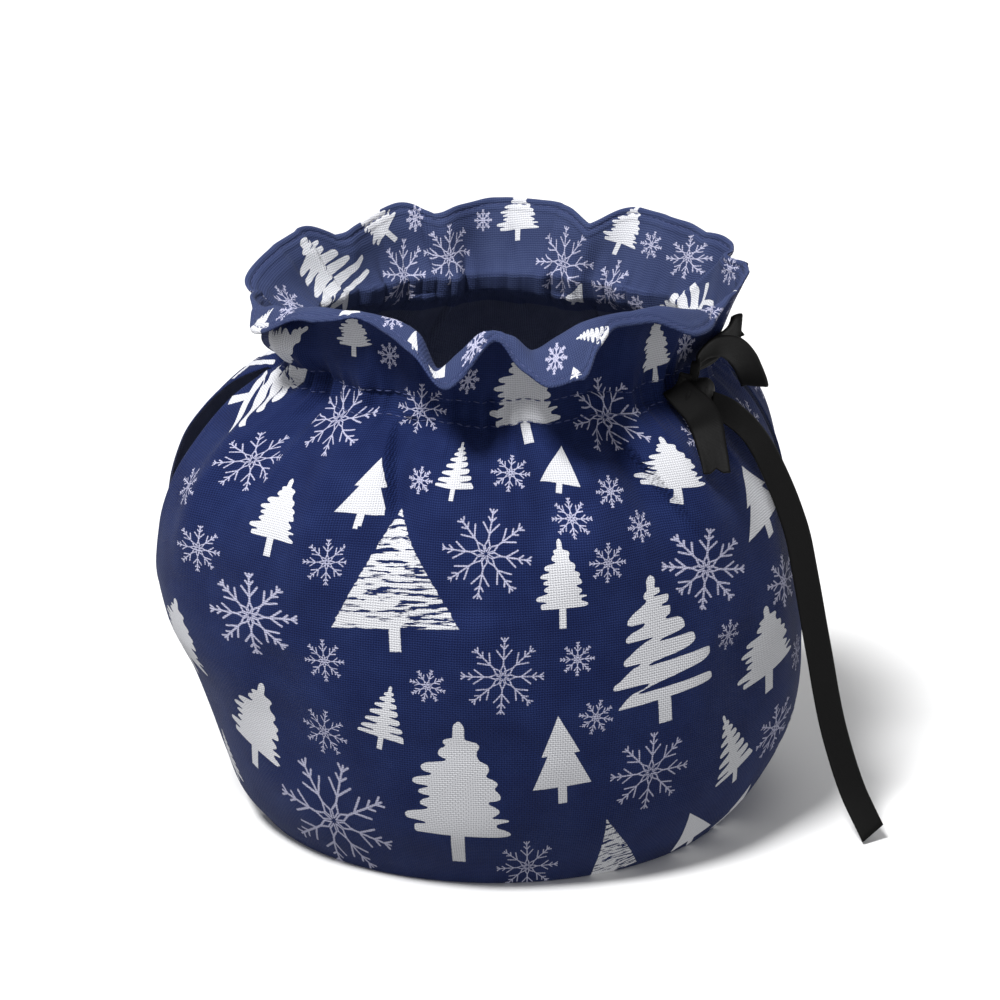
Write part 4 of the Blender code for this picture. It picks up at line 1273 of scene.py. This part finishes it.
def make_knot(material):
    """The knot: a soft lump with the folds of the ribbon's turns across it."""
    rings, around = 36, 64
    vertices = []
    uv = []
    for i in range(rings + 1):
        rise = math.pi * i / rings - math.pi / 2
        for j in range(around):
            turn = math.tau * j / around
            ring = max(math.cos(rise), 0.0) ** 0.62
            wrap = math.sin(turn + rise * 1.1)
            crease = 0.14 * math.exp(-((wrap / 0.22) ** 2)) + 0.08 * math.exp(-(((wrap - 0.62) / 0.14) ** 2))
            fold = 0.03 * math.sin(5 * turn + 3 * rise) + 0.02 * math.sin(9 * turn - 4 * rise)
            size = 1 - (crease + fold) * math.cos(rise)
            x, y, z = ring * math.cos(turn) * size, ring * math.sin(turn) * size, math.sin(rise) * (1 - 0.05 * crease)
            vertices.append((x * KNOT_SIZE[0] / 2, y * KNOT_SIZE[1] / 2, z * KNOT_SIZE[2] / 2))
            uv.append((turn * 4.0, rise * 5.0))
    vertices = np.array(vertices)
    turn = math.radians(KNOT_TURN)
    swing = np.array([[math.cos(turn), -math.sin(turn), 0], [math.sin(turn), math.cos(turn), 0], [0, 0, 1]])
    vertices = vertices @ swing.T + np.array(KNOT_MIDDLE)
    faces = []
    for i in range(rings):
        for j in range(around):
            k = (j + 1) % around
            faces.append([i * around + j, i * around + k, (i + 1) * around + k, (i + 1) * around + j])
    obj = mesh_object("ribbon_tied_knot", to_world(vertices), faces, [material])
    lay_weave(obj, np.array(uv)[np.array(faces)])
    return obj


knot = make_knot(black)
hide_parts("ribbon_knot")
for piece in (tail_short, loop_upper, loop_lower, knot):
    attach(piece, "root")

front, front_wall, *front_faces = make_panel("cosy_front", ("spout", "handle"), canvases)
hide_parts("front_panel")
back, back_wall, *back_faces = make_panel("cosy_back", ("handle", "spout"), canvases)
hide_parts("back_panel")
front_stitches = make_stitches("stitches_front", front_wall, *front_faces, thread)
back_stitches = make_stitches("stitches_back", back_wall, *back_faces, thread)
for piece in (front, back, front_stitches, back_stitches):
    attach(piece, "root")


# ---------------------------------------------------------------- floor and light
def make_floor():
    material, _, shader = fresh_material("floor")
    configure(shader, Base_Color=(0.8, 0.8, 0.8, 1), Roughness=0.9)
    half, z = 3.0, -0.0003
    vertices = np.array([(-half, -half, z), (half, -half, z), (half, half, z), (-half, half, z)])
    floor = mesh_object("floor", vertices, [[0, 1, 2, 3]], [material])
    floor.visible_diffuse = False  # it stays white without lighting the cosy from below


def sun(name, elevation, azimuth, strength, softness):
    """A soft light from an elevation and an azimuth round the object, in degrees: 270 is the camera's side."""
    data = bpy.data.lights.new(name, "SUN")
    data.energy = strength
    data.angle = math.radians(softness)
    light = bpy.data.objects.new(name, data)
    light.rotation_euler = (math.radians(90 - elevation), 0, math.radians(azimuth + 90))
    bpy.context.scene.collection.objects.link(light)


def light_scene():
    world = bpy.data.worlds.new("studio")
    world.use_nodes = True
    configure(world.node_tree.nodes["Background"], Color=(1, 1, 1, 1), Strength=0.44)
    bpy.context.scene.world = world
    sun("key", 61, 230, 4.0, 13)
    sun("top", 76, 70, 0.3, 40)


make_floor()
light_scene()
bpy.context.scene.view_settings.view_transform = "Standard"
